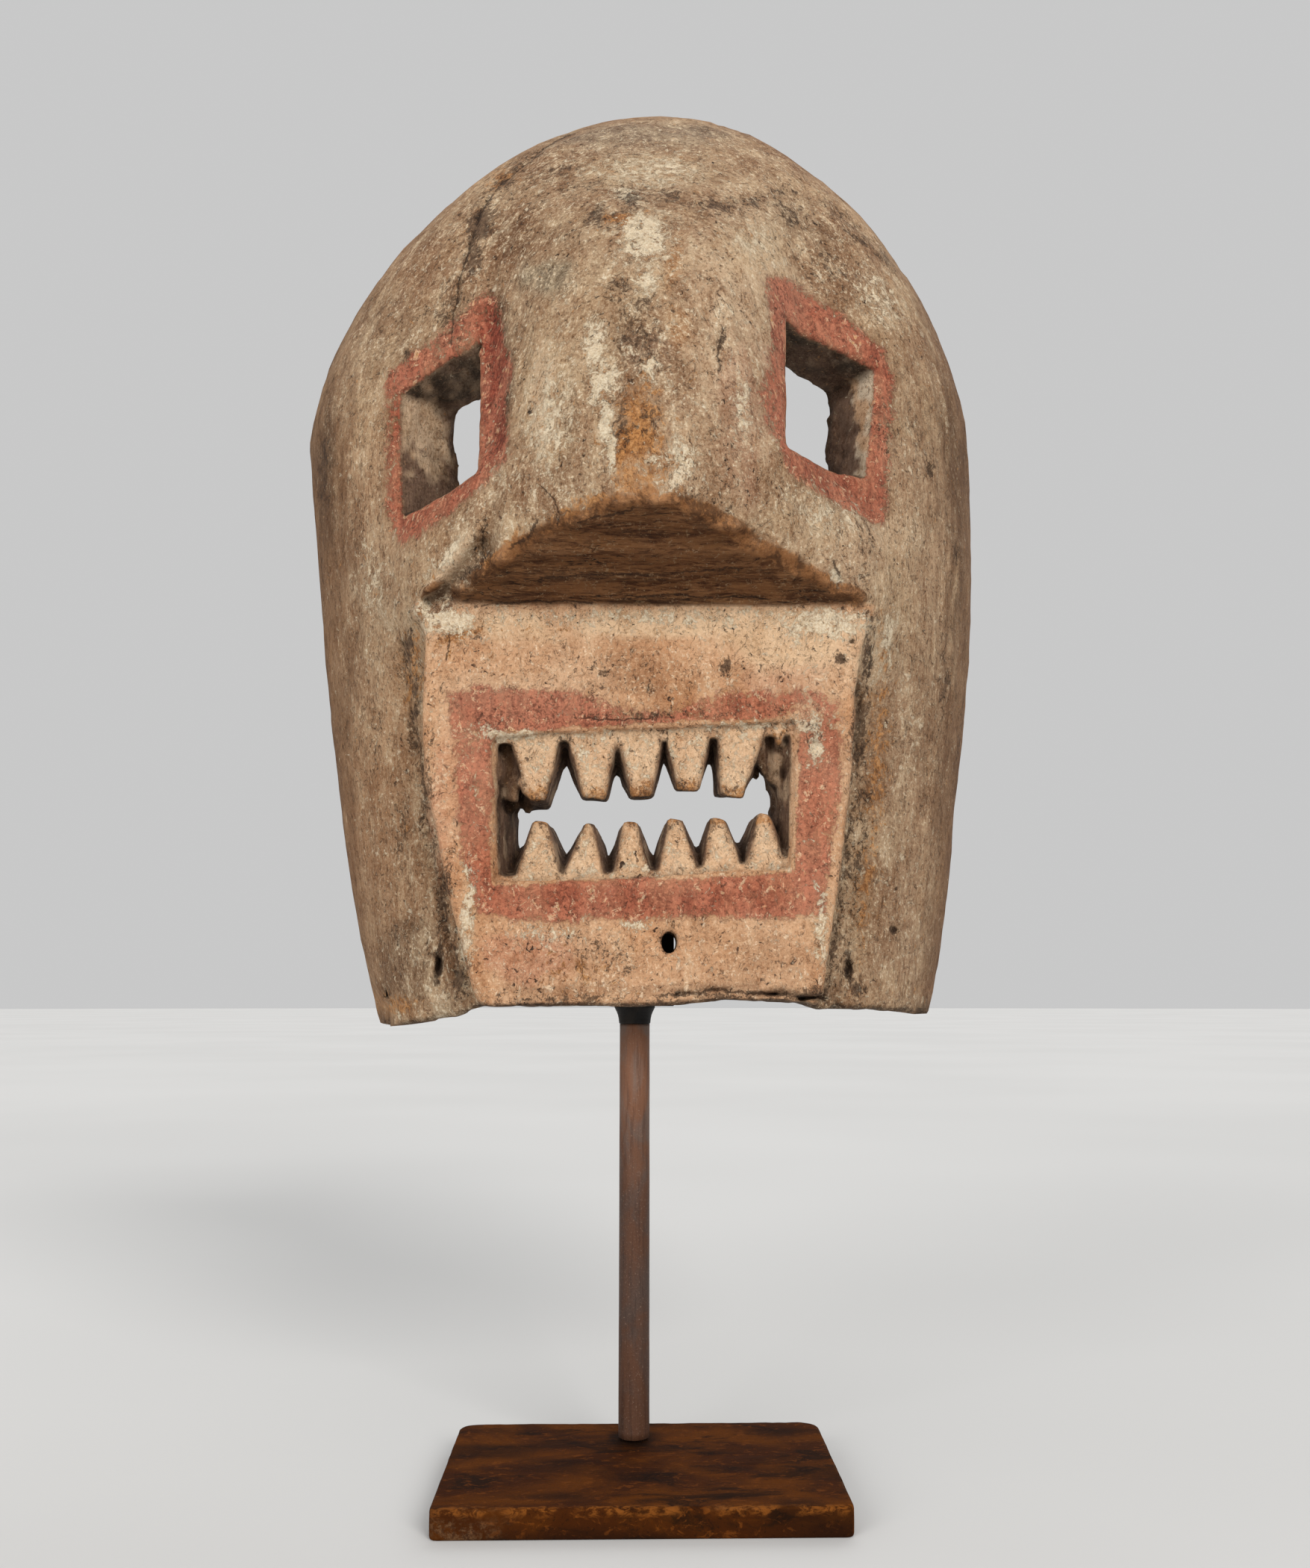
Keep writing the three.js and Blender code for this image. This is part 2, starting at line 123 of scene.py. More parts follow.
# Ragged wood left where a tooth broke off and in the opposite corner: outline and front face
STUMPS = [
    ([(45.5, 278), (47.5, 262.5), (50.5, 255.5), (53.0, 250.0), (60, 250), (60, 278)], -5.0),
    ([(-58, 278), (-58, 249), (-46.5, 249.5), (-47.0, 262.0), (-48.0, 278)], -6.0),
]
EYE_BACK_Y = 25.5
LEFT_EYE = ([(-96.7, 364.8), (-98.6, 417.4), (-66.8, 434.2), (-64.4, 373.6)],
            [(-78.0, 378), (-76.7, 419.0), (-51, 424), (-49.5, 384)])
RIGHT_EYE = ([(54.8, 381.0), (57.2, 442), (95.9, 428.9), (89.2, 379.7)],
             [(40, 392), (42, 434), (78.5, 428.3), (76.6, 390)])
CHIN_HOLE = (10.2, 195.4, 2.9, 3.9)
ROD_AT = (-2.3, 26.8)
BOTTOM_EDGE = [(-140, 161), (-100, 163.5), (-72, 168), (-60, 172), (10, 172), (30, 174.5),
               (60, 174), (68, 171.5), (90, 171.5), (140, 167)]


def curve(pairs, at):
    """Smooth curve through (at, value) pairs, without overshoot."""
    xs = np.array([p[0] for p in pairs], float)
    ys = np.array([p[1] for p in pairs], float)
    slope = np.diff(ys) / np.diff(xs)
    before, after = slope[:-1], slope[1:]
    total = np.where(before + after == 0, 1, before + after)
    inner = np.where(before * after > 0, 2 * before * after / total, 0)
    tangent = np.concatenate([slope[:1], inner, slope[-1:]])
    at = np.asarray(at, float)
    i = np.clip(np.searchsorted(xs, at, side="left") - 1, 0, len(xs) - 2)
    span = xs[i + 1] - xs[i]
    s = np.clip((at - xs[i]) / span, 0, 1)
    rise = s * s * (3 - 2 * s)
    return (ys[i] * (1 - rise) + ys[i + 1] * rise
            + span * (tangent[i] * s * (1 - s) ** 2 - tangent[i + 1] * s * s * (1 - s)))


def smoothstep(low, high, v):
    t = np.clip((v - low) / (high - low), 0, 1)
    return t * t * (3 - 2 * t)


def soft_max(a, b, width):
    """The greater of two fields, with the edge between them rounded over that width."""
    near = np.maximum(width - np.abs(a - b), 0) / width
    return np.maximum(a, b) + near * near * width / 4


def soft_min(a, b, width):
    return -soft_max(-a, -b, width)


def dome(z, crown=CROWN_Z):
    up = np.clip((z - SHOULDER_Z) / (crown - SHOULDER_Z), 0, 1)
    return (1 - up ** DOME_POWER) ** (1 / DOME_POWER)


def centre_x(z):
    return CENTRE_X + CROWN_LEAN * smoothstep(400, CROWN_Z, z)


def by_side(across, left, right, z):
    """The value at that height from the curve of its own side."""
    return np.where(across < 0, curve(left, z), curve(right, z))


def nose_swell(across, z):
    half = by_side(across, NOSE_HALF_WIDTH_LEFT, NOSE_HALF_WIDTH_RIGHT, z)
    side = np.minimum(1, np.abs(across / half))
    return curve(NOSE_HEIGHT, z) * dome(z) * (1 - side ** curve(NOSE_FULLNESS, z)) ** 1.2


def brow_swell(x, z):
    out = 0
    for cx, cz, reach, up, down, height in BROW_SWELLS:
        tall = np.where(z > cz, up, down)
        out = out + height * np.exp(-((x - cx) / reach) ** 2 - ((z - cz) / tall) ** 2)
    return out


def domed(x, y, z, trim, crown, centre_y, depth, power, share):
    """Nought on the skin of the domed form, less inside, in no unit. Only a full share has the brow's swells."""
    across = x - centre_x(z)
    half = by_side(across, HALF_WIDTH_LEFT, HALF_WIDTH_RIGHT, z) - trim
    swell = share * nose_swell(across, z)
    if share == 1:
        swell = swell + brow_swell(x, z)
    behind = np.maximum(centre_y - y - swell, 0) / depth
    up = np.maximum(z - SHOULDER_Z, 0) / (crown - SHOULDER_Z)
    flat = (np.abs(across / half) ** power + behind ** power) ** (DOME_POWER / power)
    return (flat + up ** DOME_POWER) ** (1 / DOME_POWER) - 1


def outer_form(x, y, z):
    return domed(x, y, z, 0, CROWN_Z, RIM_Y, RIM_Y - curve(FRONT_Y, z), curve(ROUNDNESS, z), 1)


def hollow_form(x, y, z):
    return domed(x, y, z, WALL, CROWN_Z - CROWN_WALL, HOLLOW_CENTRE_Y, HOLLOW_CENTRE_Y - HOLLOW_FRONT_Y,
                 HOLLOW_ROUNDNESS, HOLLOW_NOSE_SHARE)


def steepness(form, x, y, z):
    """The form turned into a distance in millimetres by its own slope."""
    step = 0.5
    at = form(x, y, z)
    sx = (form(x + step, y, z) - at) / step
    sy = (form(x, y + step, z) - at) / step
    sz = (form(x, y, z + step) - at) / step
    return at / np.maximum(np.sqrt(sx * sx + sy * sy + sz * sz), 1e-4)


def face_y(x, z):
    """How far forward the outer face is, straight behind a point seen from the front."""
    across = x - centre_x(z)
    d = dome(z)
    power = curve(ROUNDNESS, z)
    half = d * by_side(across, HALF_WIDTH_LEFT, HALF_WIDTH_RIGHT, z)
    depth = (RIM_Y - curve(FRONT_Y, z)) * d
    bow = (1 - np.minimum(1, np.abs(across / half)) ** power) ** (1 / power)
    return RIM_Y - depth * bow - nose_swell(across, z) - brow_swell(x, z)


def prism(x, y, z, front, back, front_y, back_y, round_by=0.0):
    """Distance outside a hole whose corners run straight from one outline to the other.
    Outlines are clockwise as seen from the front."""
    corners = []
    for i, (near, far) in enumerate(zip(front, back)):
        start = front_y[i] if hasattr(front_y, "__len__") else front_y
        t = (y - start) / (back_y - start)
        corners.append((near[0] + (far[0] - near[0]) * t, near[1] + (far[1] - near[1]) * t))
    out = None
    for (ax, az), (bx, bz) in zip(corners, corners[1:] + corners[:1]):
        length = np.hypot(bx - ax, bz - az) + 1e-6
        side = ((x - ax) * -(bz - az) + (z - az) * (bx - ax)) / length
        if out is None:
            out = side
        elif round_by:
            out = soft_max(out, side, round_by)
        else:
            out = np.maximum(out, side)
    return out


def eye_hole(x, y, z, eye):
    front, back = eye
    at = [float(face_y(np.array(px), np.array(pz))) for px, pz in front]
    tighter = 1.3 * smoothstep(0, EYE_BACK_Y, y)
    return np.maximum(prism(x, y, z, front, back, at, EYE_BACK_Y, 1.5) + tighter, y - 60)


def eye_holes(x, y, z):
    return np.minimum(eye_hole(x, y, z, LEFT_EYE), eye_hole(x, y, z, RIGHT_EYE))


def tooth(x, y, z, points, upper, faced=True):
    """Distance outside one tooth. Its sides spread towards the back, and its face leans back to the tip."""
    root_left, root_right, tip_right, tip_left, back_tip = points
    way = 1 if upper else -1
    root_z = (root_left[1] + root_right[1]) / 2
    past = 9 * way
    slim = 0.5 if upper else 1.5
    front = [(root_left[0] + slim - 0.4, root_left[1] + past), (root_right[0] - slim + 0.4, root_right[1] + past),
             (root_right[0] - slim, root_right[1]), tip_right, tip_left, (root_left[0] + slim, root_left[1])]
    spread = 1.7 if upper else 2.7
    back = [(root_left[0] - spread - 1, root_left[1] + past), (root_right[0] + spread + 1, root_right[1] + past),
            (root_right[0] + spread, root_right[1] - 5.5 * way), (tip_right[0] + spread * 0.8, back_tip),
            (tip_left[0] - spread * 0.8, back_tip), (root_left[0] - spread, root_left[1] - 5.5 * way)]
    if not upper:
        front = front[::-1]
        back = back[::-1]
    sides = prism(x, y, z, front, back, RECESS_Y, MOUTH_BACK_Y, 1.2) - (0.35 if upper else 0.7)
    if not faced:
        return sides
    lean = np.clip((root_z - z) * way, 0, 25) * 0.06
    return soft_max(sides, RECESS_Y + lean - y, 1.6)


def convex_outline(x, z, points):
    out = None
    for (ax, az), (bx, bz) in zip(points, points[1:] + points[:1]):
        side = ((x - ax) * -(bz - az) + (z - az) * (bx - ax)) / math.hypot(bx - ax, bz - az)
        out = side if out is None else np.maximum(out, side)
    return out


def mouth_teeth(x, y, z, faced=True):
    """Distance outside the nearest tooth, or only outside its sides."""
    out = None
    for upper, row in ((True, UPPER_TEETH), (False, LOWER_TEETH)):
        for points in row:
            one = tooth(x, y, z, points, upper, faced)
            out = one if out is None else np.minimum(out, one)
    return out


def mouth_opening(x, y, z, round_by=0.0):
    """Distance outside the way through the mouth as it would be without teeth."""
    return prism(x, y, z, OPENING, OPENING_BACK, PLATE_Y, MOUTH_BACK_Y, round_by)


def mouth_hole(x, y, z):
    """Distance outside the space cut away in the mouth: a shallow recess, then a way through between the teeth."""
    recess = soft_max(convex_outline(x, z, RECESS), y - RECESS_Y, 1.2)
    through = soft_max(mouth_opening(x, y, z, 1.0), -mouth_teeth(x, y, z), 0.8)
    for outline, front in STUMPS:
        stump = np.maximum(convex_outline(x, z, outline[::-1]), front - y)
        through = soft_max(through, -stump, 1.2)
    return np.minimum(recess, through)


def over_brow(y, z):
    """Height over the slanting underside of the brow."""
    return (z - PLATE_TOP) + (y - PLATE_Y) * BROW_SLOPE


def brow_cut(x, y, z):
    """Distance outside the space cut away in front of the mouth plate, under the brow."""
    under = over_brow(y, z) / math.sqrt(1 + BROW_SLOPE ** 2)
    sides = np.maximum(curve(PLATE_LEFT_EDGE, z) - x, x - curve(PLATE_RIGHT_EDGE, z))
    return soft_max(soft_max(y - PLATE_Y, under, 2.0), sides, 3.0)


def mouth_plate(x, y, z):
    sides = soft_max(curve(PLATE_LEFT_EDGE, z) - x, x - curve(PLATE_RIGHT_EDGE, z), 1.0)
    return soft_max(soft_max(PLATE_Y - y, sides, 6.0), np.maximum(y - 6.0, z - PLATE_TOP), 1.0)


# Noise and marks
def lattice(ix, iy, iz, seed):
    h = (ix.astype(np.uint32) * np.uint32(374761393) + iy.astype(np.uint32) * np.uint32(668265263)
         + iz.astype(np.uint32) * np.uint32(2246822519) + np.uint32((seed * 3266489917) & 0xFFFFFFFF))
    h = (h ^ (h >> np.uint32(13))) * np.uint32(1274126177)
    h ^= h >> np.uint32(16)
    return h.astype(np.float32) / np.float32(2147483648.0) - 1


def cell_corners(f):
    """The eight corners of a grid cell, each with its share at the points with those places in the cell."""
    for corner in itertools.product((0, 1), repeat=3):
        dx, dy, dz = corner
        share = ((f[:, 0] if dx else 1 - f[:, 0]) * (f[:, 1] if dy else 1 - f[:, 1])
                 * (f[:, 2] if dz else 1 - f[:, 2]))
        yield corner, share


def noise(p, size, seed):
    """Smooth noise from -1 to 1 over points in millimetres, with bumps of that size along each axis."""
    q = p / np.array(size if hasattr(size, "__len__") else (size,) * 3, float) + 1000.0
    base = np.floor(q).astype(np.int64)
    f = q - base
    f = f * f * (3 - 2 * f)
    out = np.zeros(len(p), np.float32)
    for corner, share in cell_corners(f):
        out += (share * lattice(*(base + corner).T, seed)).astype(np.float32)
    return out


def patches(p, low, high, size, seed):
    """Soft-edged patches of noise, from nought to one."""
    return smoothstep(low, high, noise(p, size, seed))


def line_distance(u, v, points):
    """Distance in pixels from a broken line in the photograph."""
    best = np.full(len(u), 1e9)
    for (au, av), (bu, bv) in zip(points, points[1:]):
        du, dv = bu - au, bv - av
        t = np.clip(((u - au) * du + (v - av) * dv) / (du * du + dv * dv), 0, 1)
        best = np.minimum(best, np.hypot(u - au - du * t, v - av - dv * t))
    return best


def line_side(u, v, points):
    """Distance from the nearest stretch of a broken line, drawn on without end: less than nought on its left."""
    best = np.full(len(u), 1e9)
    out = np.zeros(len(u))
    for (au, av), (bu, bv) in zip(points, points[1:]):
        du, dv = bu - au, bv - av
        length = math.hypot(du, dv)
        t = np.clip(((u - au) * du + (v - av) * dv) / (length * length), 0, 1)
        away = np.hypot(u - au - du * t, v - av - dv * t)
        side = ((u - au) * dv - (v - av) * du) / length
        out = np.where(away < best, side, out)
        best = np.minimum(best, away)
    return out


def outline_distance(u, v, points):
    """Signed distance in pixels from a closed outline in the photograph, less than nought inside."""
    inside = np.zeros(len(u), bool)
    for (au, av), (bu, bv) in zip(points, points[1:] + points[:1]):
        crosses = (av > v) != (bv > v)
        with np.errstate(divide="ignore", invalid="ignore"):
            at = au + (v - av) * (bu - au) / (bv - av if bv != av else 1e-9)
        inside ^= crosses & (u < at)
    away = line_distance(u, v, list(points) + [points[0]])
    return np.where(inside, -away, away)


def oval(u, v, cu, cv, ru, rv, turn=0.0):
    """One in the middle of an oval in the photograph, falling softly to nought past its rim."""
    c, s = math.cos(math.radians(turn)), math.sin(math.radians(turn))
    du, dv = u - cu, v - cv
    return np.exp(-1.2 * (((du * c + dv * s) / ru) ** 2 + ((dv * c - du * s) / rv) ** 2))


CRACK = [(780, 172), (739, 193), (710, 214), (674, 246), (652, 270), (642, 290), (630, 330), (621, 352),
         (613, 399), (607, 430), (604, 459)]
CROWN_LINE = [(752, 256), (811, 247), (887, 256), (928, 277), (987, 271), (1051, 256), (1075, 283)]
SIDE_LINE = [(1118, 284), (1150, 306), (1184, 338), (1212, 368)]
SCAR = [(967, 443), (960, 476), (964, 497)]
# Lines cut into the face: points, half width in pixels, depth in millimetres
CUT_LINES = [(CRACK[:5], 4.5, 0.9), (CRACK[4:], 3.6, 1.7), (CROWN_LINE, 7, 0.5), (SIDE_LINE, 5, 1.0), (SCAR, 4.0, 0.8),
             ([(905, 1331), (960, 1327), (1040, 1331), (1105, 1338)], 4, 3.0),
             ([(960, 1318), (1010, 1321), (1070, 1330)], 3, 1.5),
             ([(652, 722), (645, 740), (655, 757)], 5, 1.2), ([(545, 1120), (552, 1200), (556, 1300)], 3.5, 0.8),
             ([(1146, 880), (1150, 960), (1144, 1010)], 6, 1.4), ([(540, 860), (548, 930), (560, 1010)], 8, 1.8),
             ([(566, 1080), (580, 1160), (600, 1250), (612, 1310)], 5, 1.6),
             ([(1140, 1090), (1128, 1190), (1112, 1290)], 5, 1.4), ([(530, 985), (537, 1060)], 3, 0.8),
             ([(1205, 850), (1209, 930)], 3, 0.7), ([(1240, 1010), (1238, 1090)], 3, 0.7)]
# Softer channels and ridges (less than nought): points, half width in pixels, depth
CHANNELS = [([(650, 733), (622, 762), (598, 788), (576, 804)], 17, 3.6),
            ([(640, 706), (622, 732), (596, 764), (572, 792), (556, 822)], 11, -2.0),
            ([(668, 640), (662, 690), (656, 730)], 14, 1.3), ([(655, 430), (668, 520), (662, 600)], 18, 1.6),
            ([(1045, 640), (1080, 690), (1100, 740)], 20, 1.0), ([(533, 850), (541, 930), (552, 1010)], 16, 1.2),
            ([(640, 912), (760, 918), (860, 928), (960, 920)], 10, 0.7)]
# Pits: middle, half width, half height, turn, depth
PITS = [(589, 1291, 5.5, 16, 0, 5), (520, 1328, 4, 8, 0, 3.5), (1135, 1296, 6, 15, 0, 4), (1197, 1246, 4, 5, 0, 2.5),
        (975, 894, 5, 9, 0, 1.6), (1130, 884, 9, 4, 15, 1.6), (1142, 859, 5, 5, 0, 1.4), (1245, 629, 5, 8, 0, 1.4),
        (1148, 935, 6, 22, 0, 1.2), (831, 385, 7, 10, 0, 0.8), (799, 284, 12, 14, 0, 0.6),
        (1078, 970, 12, 10, 0, -1.2), (1092, 992, 7, 8, 0, 1.4), (700, 905, 10, 6, 0, 0.5), (868, 915, 20, 4, 0, 0.8),
        (905, 1010, 3, 6, 0, 0.8)]
# Broad hollows and swellings: middle, half width, half height, turn, depth (less than nought swells)
DENTS = [(1122, 776, 8, 14, -20, 1.6), (1140, 790, 7, 10, -20, -1.2), (700, 470, 16, 80, 0, 0.8),
         (1196, 1290, 30, 60, 0, 0.8), (470, 880, 24, 90, 3, 0.9), (1250, 760, 20, 80, 0, 0.8)]


def relief(p, skin, eye_gap, mouth_gap, hollow_gap, teeth_gap):
    """How much is worn or cut away at points near the surface, in millimetres."""
    x, y, z = p.T
    u, v = seen_at(p)
    off_middle = np.abs(x - MIDDLE_X)
    front = skin > -RELIEF_REACH
    on_plate = (y < PLATE_Y + 3) & (z < PLATE_TOP + 2) & (off_middle < 92)
    brow = (y < PLATE_Y - 2) & (np.abs(over_brow(y, z)) < 4)

    # Wear of the wood, by part
    cut = np.zeros(len(p), np.float32)
    cut += 0.8 * noise(p, 44, 1) + 0.35 * noise(p, 17, 2)
    grain = noise(p, (3.4, 3.4, 30), 3) + 0.6 * noise(p, (7, 7, 55), 4)
    outer = 0.26 * grain + 0.18 * noise(p, 4.5, 5) + 0.14 * noise(p, (2.7, 2.7, 5), 24)
    cut += np.where(front & ~on_plate & ~brow, outer, 0)
    crust = 0.35 * noise(p, 12, 6) + 0.26 * noise(p, 4.2, 7) + 0.16 * noise(p, 2.7, 23)
    cut += np.where(on_plate & front, crust, 0)
    cut += np.where(brow, 0.9 * noise(p, (30, 6, 6), 8) + 0.45 * noise(p, (12, 2.8, 2.8), 9), 0)
    lip = np.exp(-(skin / 6) ** 2 - (over_brow(y, z) / 6) ** 2) * (y < PLATE_Y + 1)
    cut += lip * (0.3 + 1.3 * noise(p, (9, 9, 7), 21) + 1.1 * noise(p, 3.6, 22))
    chop = np.abs(noise(p, (17, 17, 24), 10)) * 2.2 + 0.4 * noise(p, 6, 11)
    cut += np.where(hollow_gap < 5, chop, 0)
    wall = (np.minimum(eye_gap, mouth_gap) < 3) & (skin < -2)
    rough = np.where(mouth_gap < 3, 0.35, 1.0)
    cut += np.where(wall, rough * (0.7 * noise(p, 6.5, 12) + 0.45 * noise(p, 3.2, 13)), 0)
    chipped = np.maximum(noise(p, (6, 6, 5), 76), 0) * 2.6 + np.maximum(noise(p, 2.8, 77), 0) * 1.2
    cut += np.where(eye_gap < 3, smoothstep(10, 20, y) * chipped, 0)
    cut += np.where(teeth_gap < 3, 0.25 * noise(p, (3.5, 6, 9), 14), 0)

    # Single marks that the photograph shows
    wobble = 1 + 0.5 * noise(p, 9, 15)
    for points, half, depth in CUT_LINES:
        groove = depth * np.clip(1 - line_distance(u, v, points) / (half * wobble), 0, 1)
        cut += np.where(front, groove, 0)
    for points, half, depth in CHANNELS:
        soft = depth * np.exp(-1.4 * (line_distance(u, v, points) / half) ** 2)
        cut += np.where(front, soft, 0)
    for *place, depth in PITS:
        cut += np.where(front, depth * np.clip(1.6 * oval(u, v, *place) - 0.35, 0, 1), 0)
    for *place, depth in DENTS:
        cut += np.where(front, depth * oval(u, v, *place), 0)

    # Broken lower edge and back rim
    low = smoothstep(186, 168, z)
    jag = np.maximum(noise(p, (5, 9, 14), 16), 0) * 2.4 + np.maximum(noise(p, (16, 16, 9), 17), 0) * 1.6
    cut += low * jag * (0.35 + 0.65 * smoothstep(58, 74, off_middle))
    cut += smoothstep(86, 99, y) * np.maximum(noise(p, (14, 8, 14), 18), 0) * 1.6
    return cut


# Mesh of the mask
STEP = 1.35
TRIANGLES = 193000
STUMP_NOISE = 2.4
RELIEF_REACH = 7
# Distance given to what lies outside the part of the grid with the hole
FAR = 50
# How far the carving may reach past the solid's own box
PAST_BOX = 0.8
# Boxes in millimetres: the whole grid, and the parts of it that hold the holes
GRID = ((-156.0, -70.0, 155.0), (158.0, 106.0, 600.0))
LEFT_EYE_BOX = ((-112, -62, 350), (-34, 66, 452))
RIGHT_EYE_BOX = ((26, -66, 362), (112, 66, 458))
MOUTH_BOX = ((-70, -26, 205), (72, 30, 290))
CHIN_HOLE_BOX = ((0, -24, 184), (20, 26, 206))
SEAT_BOX = ((-30, 4, GRID[0][2]), (26, 60, 214))
# The seat for the steel fitting, cut into the inside of the chin
SEAT_HALF_WIDTH = 18
SEAT_TOP = 209
SEAT_FRONT_Y = 9.7


def block(axes, box):
    """Slices of the grid that hold a box, and the coordinates there, shaped to broadcast."""
    cuts = []
    coords = []
    for a, (axis, low, high) in enumerate(zip(axes, *box)):
        first = int(np.searchsorted(axis, low))
        last = int(np.searchsorted(axis, high))
        cuts.append(slice(first, last))
        shape = [1, 1, 1]
        shape[a] = last - first
        coords.append(axis[first:last].reshape(shape))
    return tuple(cuts), coords


def carve():
    """The field of the whole mask on a grid: nought on the surface, less inside."""
    axes = [np.arange(low, high, STEP) for low, high in zip(*GRID)]
    x, y, z = [axis.reshape([-1 if a == b else 1 for b in range(3)]) for a, axis in enumerate(axes)]

    def distance(form):
        value = form(x, y, z).astype(np.float32)
        steps = np.gradient(value, STEP)
        slope = np.sqrt(steps[0] ** 2 + steps[1] ** 2 + steps[2] ** 2)
        return np.clip(value / np.maximum(slope, 1e-4), -60, 60)

    # Domed block with its plate, brow, hollow, rim and lower edge
    skin = distance(outer_form)
    hollow = distance(hollow_form)
    solid = soft_min(skin, mouth_plate(x, y, z).astype(np.float32), 5.0)
    solid = soft_max(solid, -brow_cut(x, y, z).astype(np.float32), 3.0)
    solid = soft_max(solid, -hollow, 4.0)
    solid = soft_max(solid, (y - RIM_Y).astype(np.float32), 3.5)
    edge = np.interp(x, *zip(*BOTTOM_EDGE))
    solid = soft_max(solid, (edge - z).astype(np.float32), 3.0)

    # Holes, each in its own part of the grid
    eyes, mouth, teeth = [np.full(solid.shape, FAR, np.float32) for _ in range(3)]
    for eye, box in ((LEFT_EYE, LEFT_EYE_BOX), (RIGHT_EYE, RIGHT_EYE_BOX)):
        cut, at = block(axes, box)
        eyes[cut] = eye_hole(*at, eye)
        solid[cut] = soft_max(solid[cut], -eyes[cut], 3.0)
    cut, at = block(axes, MOUTH_BOX)
    mouth[cut] = mouth_hole(*at)
    teeth[cut] = mouth_teeth(*at)
    solid[cut] = soft_max(solid[cut], -mouth[cut], 1.4)
    cut, (hx, hy, hz) = block(axes, CHIN_HOLE_BOX)
    hole_x, hole_z, half_width, half_height = CHIN_HOLE
    hole = (np.hypot((hx - hole_x) / half_width, (hz - hole_z) / half_height) - 1) * 3.2
    solid[cut] = soft_max(solid[cut], -(hole + 0 * hy).astype(np.float32), 1.5)
    cut, (sx, sy, sz) = block(axes, SEAT_BOX)
    seat = np.maximum(np.maximum(np.abs(sx - ROD_AT[0]) - SEAT_HALF_WIDTH, sz - SEAT_TOP), SEAT_FRONT_Y - sy)
    solid[cut] = np.maximum(solid[cut], -seat.astype(np.float32))

    # Wear and marks
    near = np.nonzero(np.abs(solid) < RELIEF_REACH)
    p = np.stack([axes[a][near[a]] for a in range(3)], 1)
    solid[near] += relief(p, skin[near], eyes[near], mouth[near], hollow[near], teeth[near])
    for outline, front in STUMPS:
        xs = [q[0] for q in outline]
        cut, (tx, ty, tz) = block(axes, ((min(xs) - 3, front - 8, 240), (max(xs) + 3, 20, 284)))
        grid = np.stack(np.broadcast_arrays(tx, ty, tz), -1).reshape(-1, 3)
        rough = noise(grid, (2.6, 6, 9), 19) + 0.7 * noise(grid, (4, 4, 4), 20)
        inside = np.maximum(convex_outline(tx, tz, outline[::-1]), front - ty) < 3.5
        solid[cut] += np.where(inside, STUMP_NOISE * rough.reshape(inside.shape), 0)
    return solid, axes


def surface(field):
    """Corners and four-sided faces of the field's nought surface, in grid steps."""
    inside = field < 0
    shape = tuple(n - 1 for n in field.shape)
    owners = []
    points = []
    quads = []
    for axis in range(3):
        near = [slice(None)] * 3
        far = [slice(None)] * 3
        near[axis] = slice(None, -1)
        far[axis] = slice(1, None)
        crossing = np.nonzero(inside[tuple(near)] != inside[tuple(far)])
        at = np.stack(crossing, 1)
        a = field[crossing]
        ahead = [c.copy() for c in crossing]
        ahead[axis] += 1
        b = field[tuple(ahead)]
        where = at.astype(np.float64)
        where[:, axis] += a / (a - b)
        one, two = (axis + 1) % 3, (axis + 2) % 3
        ring = []
        for d1, d2 in ((1, 1), (0, 1), (0, 0), (1, 0)):
            cell = at.copy()
            cell[:, one] -= d1
            cell[:, two] -= d2
            ring.append(np.ravel_multi_index(cell.T, shape))
            owners.append(ring[-1])
            points.append(where)
        ring = np.stack(ring, 1)
        flip = ~inside[crossing]
        ring[flip] = ring[flip][:, ::-1]
        quads.append(ring)
    owners = np.concatenate(owners)
    points = np.concatenate(points)
    cells, index = np.unique(owners, return_inverse=True)
    count = np.bincount(index)
    corners = np.stack([np.bincount(index, points[:, a]) / count for a in range(3)], 1)
    faces = np.searchsorted(cells, np.concatenate(quads))
    return corners, faces


def sample(field, at):
    """The field's value between the grid's corners, at places in grid steps."""
    base = np.clip(np.floor(at).astype(int), 0, np.array(field.shape) - 2)
    out = np.zeros(len(at))
    for corner, share in cell_corners(at - base):
        out += share * field[tuple((base + corner).T)]
    return out


def neighbours_mean(corners, edges):
    n = len(corners)
    count = np.bincount(edges[:, 0], minlength=n) + np.bincount(edges[:, 1], minlength=n)
    out = np.empty_like(corners)
    for a in range(corners.shape[1]):
        out[:, a] = (np.bincount(edges[:, 0], corners[edges[:, 1], a], n)
                     + np.bincount(edges[:, 1], corners[edges[:, 0], a], n)) / np.maximum(count, 1)
    return out


def settle(field, corners, faces):
    """Evens the corners out and draws them back onto the surface."""
    pairs = np.sort(np.concatenate([faces[:, [0, 1]], faces[:, [1, 2]], faces[:, [2, 3]], faces[:, [3, 0]]]), 1)
    edges = np.unique(pairs, axis=0)
    for _ in range(2):
        corners = corners + 0.4 * (neighbours_mean(corners, edges) - corners)
        slope = np.stack([sample(field, corners + d) - sample(field, corners - d) for d in np.eye(3) * 0.5], 1)
        value = sample(field, corners)
        shift = -(value / np.maximum((slope ** 2).sum(1), 0.05))[:, None] * slope
        length = np.linalg.norm(shift, axis=1, keepdims=True)
        corners = corners + shift * np.minimum(1, 0.6 / np.maximum(length, 1e-6))
    return corners


